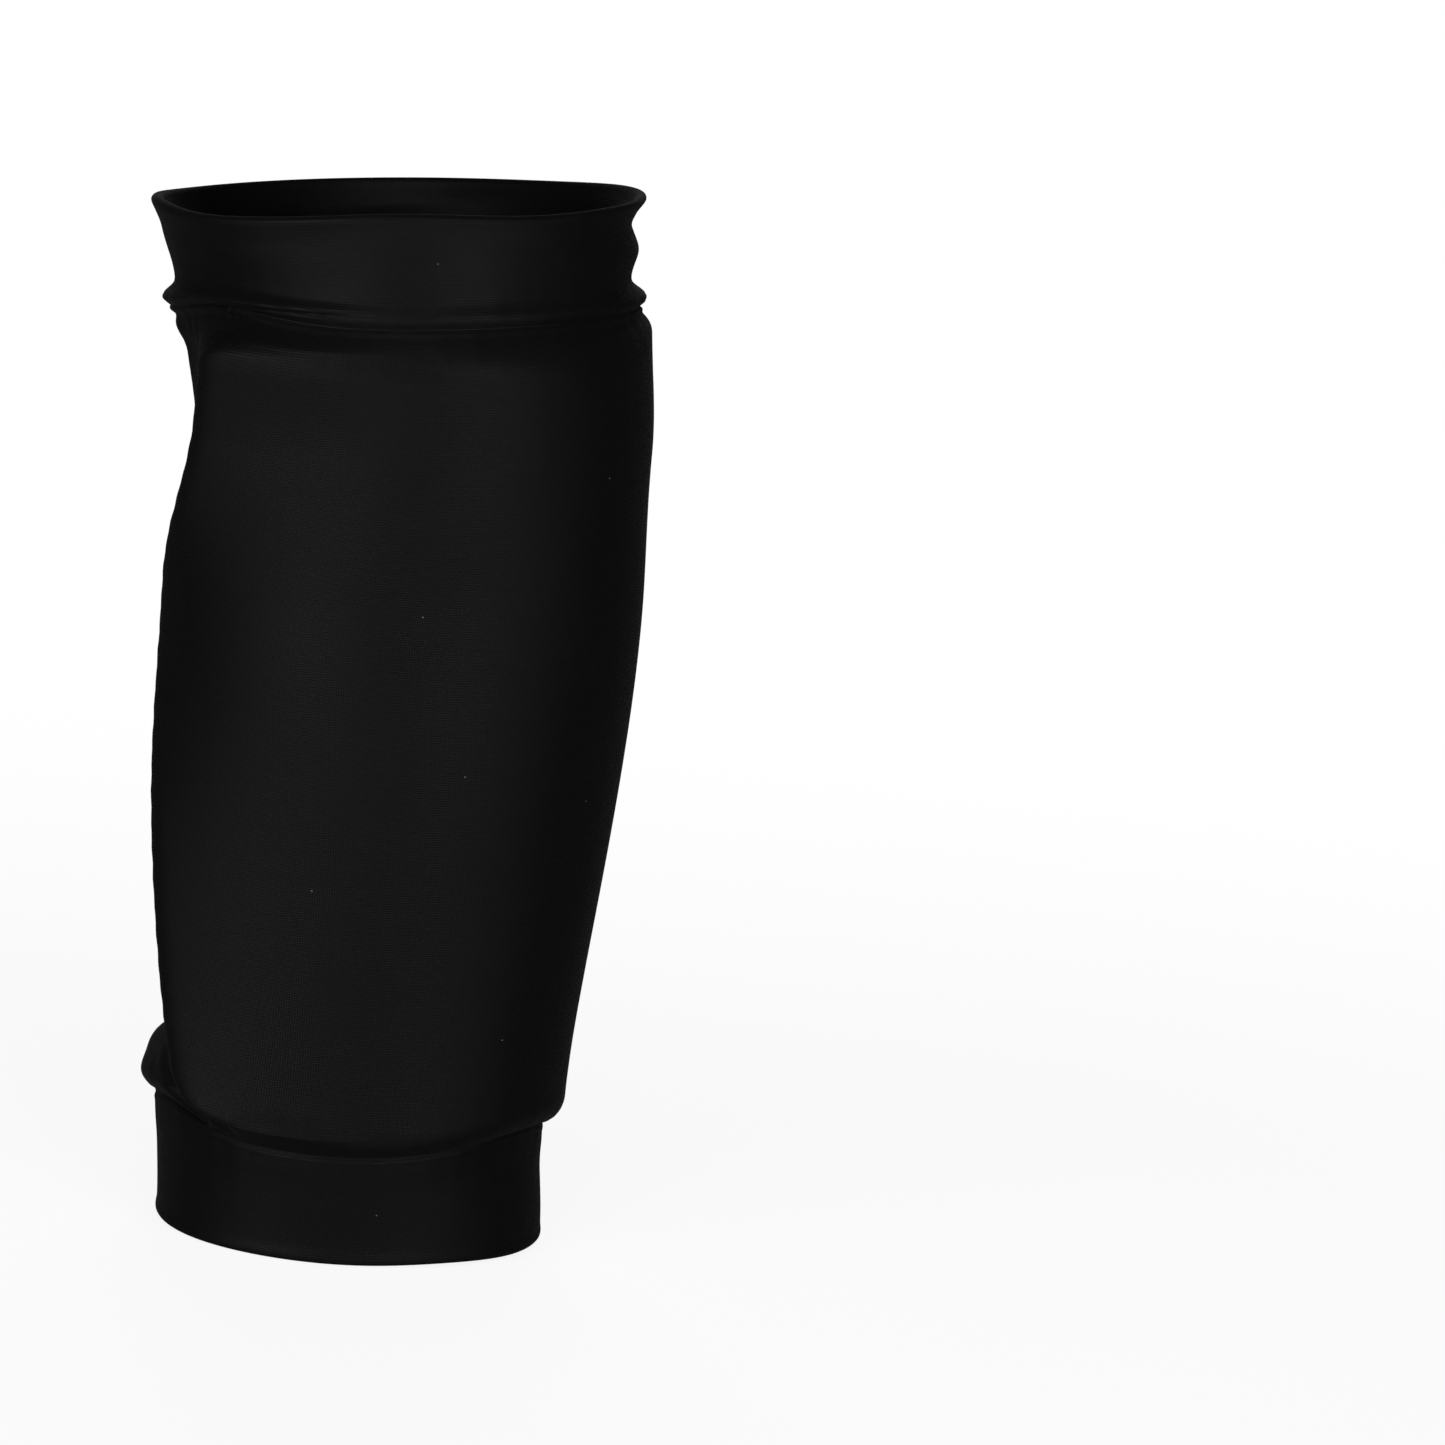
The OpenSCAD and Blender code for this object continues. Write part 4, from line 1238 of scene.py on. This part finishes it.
class GUARD_OT_stage(bpy.types.Operator):
    """Pale floor, soft light and the camera"""
    bl_idname = "guard.stage"
    bl_label = "Stage"

    def execute(self, context):
        studio = context.scene.guard_studio
        self.floor(studio)
        self.light(context.scene, studio)
        self.camera(context.scene, studio)
        context.scene.view_settings.view_transform = "Standard"
        return {"FINISHED"}

    def floor(self, studio):
        bpy.ops.object.select_all(action="DESELECT")
        # A little under the lower rim, so that no two faces lie in one plane.
        below = -0.2 * MM
        bpy.ops.mesh.primitive_plane_add(size=studio.floor_size, location=(0, 0, below))
        floor = bpy.context.object
        floor.name = "floor"
        bpy.ops.object.transform_apply(location=True)
        shader = Shader("pale_floor")
        shader.set(Base_Color=opaque(studio.floor_colour), Roughness=0.9,
                   Specular_IOR_Level=0.0)
        away = shader.node("ShaderNodeVectorMath", shader.place(), operation="LENGTH")
        reach = studio.shadow_reach
        added = shader.range(away.outputs["Value"], studio.shadow_core * reach, reach,
                             studio.floor_white, 1)
        rays = shader.node("ShaderNodeLightPath").outputs
        seen = shader.math("MAXIMUM", rays["Is Camera Ray"],
                           shader.math("MAXIMUM", rays["Is Glossy Ray"],
                                       rays["Is Transmission Ray"]))
        white = shader.node("ShaderNodeEmission", (1, 1, 1, 1), 1.0)
        both = shader.node("ShaderNodeMixShader", shader.math("MULTIPLY", added, seen),
                           shader.surface.outputs[0], white.outputs[0])
        output = shader.tree.nodes["Material Output"]
        shader.feed(output.inputs["Surface"], both.outputs[0])
        floor.data.materials.append(shader.material)

    def light(self, scene, studio):
        world = bpy.data.worlds.new("studio_world")
        world.use_nodes = True
        scene.world = world
        fill = world.node_tree.nodes["Background"]
        fill.inputs["Color"].default_value = (1, 1, 1, 1)
        fill.inputs["Strength"].default_value = studio.fill
        aim = Vector((0, 0, studio.aim_height))
        behind = studio.azimuth + math.pi
        # Distance of every softbox from the aim point, in metres.
        away = 1.6
        # Name, azimuth and elevation in radians, width and height in metres, watts.
        for name, azimuth, elevation, wide, tall, watts in (
                ("left_softbox", studio.left_turn, 0.1, 1.15, 0.7, studio.left_power),
                ("right_softbox", studio.right_turn, 0.1, 1.2, 0.7, studio.right_power),
                ("top_softbox", studio.azimuth, 0.85, 0.9, 0.7, studio.top_power),
                ("back_softbox", behind, 0.5, 1.2, 0.8, studio.back_power)):
            lamp = bpy.data.lights.new(name, "AREA")
            lamp.shape = "ELLIPSE"
            lamp.size, lamp.size_y, lamp.energy = wide, tall, watts
            holder = bpy.data.objects.new(name, lamp)
            scene.collection.objects.link(holder)
            holder.location = aim + away * heading(azimuth, elevation)
            holder.rotation_euler = (aim - holder.location).to_track_quat("-Z", "Y").to_euler()

    def camera(self, scene, studio):
        lens = bpy.data.cameras.new("camera")
        camera = bpy.data.objects.new("camera", lens)
        scene.collection.objects.link(camera)
        scene.camera = camera
        aim = Vector((0, 0, studio.aim_height))
        back = heading(studio.azimuth, studio.elevation)
        spot = aim + studio.distance * back
        across = back.cross(Vector((0, 0, -1))).normalized()
        pixels = studio.distance / studio.picture_scale
        lens.sensor_width = 36
        lens.lens = lens.sensor_width * pixels / PICTURE_SIDE
        lens.clip_start, lens.clip_end = 0.01, 1000
        # The aim point is first centred, then the camera leans and turns away from it.
        up = back.cross(across)
        lean = Matrix.Rotation(-studio.roll, 3, -back)
        across, up = lean @ across, lean @ up
        yaw = math.atan2(studio.aim_across - PICTURE_SIDE / 2, pixels)
        pitch = math.atan2(studio.aim_down - PICTURE_SIDE / 2, pixels)
        yawed = Matrix.Rotation(yaw, 3, up)
        back, across = yawed @ back, yawed @ across
        pitched = Matrix.Rotation(pitch, 3, across)
        back, up = pitched @ back, pitched @ up
        place = Matrix((across, up, back)).transposed().to_4x4()
        place.translation = spot
        camera.matrix_world = place


OPERATORS = (
    GUARD_OT_foam_pad, GUARD_OT_front_cover, GUARD_OT_pad_lining, GUARD_OT_back_panel,
    GUARD_OT_cuffs, GUARD_OT_elastics, GUARD_OT_seams, GUARD_OT_stage,
)


class GUARD_PT_panel(bpy.types.Panel):
    """Pieces of the shin guard and their sizes"""
    bl_idname = "GUARD_PT_panel"
    bl_label = "Shin Guard"
    bl_space_type = "VIEW_3D"
    bl_region_type = "UI"
    bl_category = "Shin Guard"

    def draw(self, context):
        for operator in OPERATORS:
            self.layout.operator(operator.bl_idname)
        for group in GROUPS:
            box = self.layout.box()
            sizes = getattr(context.scene, group)
            for name in sizes.bl_rna.properties.keys():
                if name not in ("rna_type", "name"):
                    box.prop(sizes, name)


CLASSES = (*GROUPS.values(), *OPERATORS, GUARD_PT_panel)


def register():
    for made in CLASSES:
        bpy.utils.register_class(made)
    for name, group in GROUPS.items():
        setattr(bpy.types.Scene, name, bpy.props.PointerProperty(type=group))


def unregister():
    for name in GROUPS:
        delattr(bpy.types.Scene, name)
    for made in reversed(CLASSES):
        bpy.utils.unregister_class(made)


def main():
    register()
    bpy.ops.guard.foam_pad()
    bpy.ops.guard.front_cover()
    bpy.ops.guard.pad_lining()
    bpy.ops.guard.back_panel()
    bpy.ops.guard.cuffs()
    bpy.ops.guard.elastics()
    bpy.ops.guard.seams()
    bpy.ops.guard.stage()


if __name__ == "__main__":
    main()
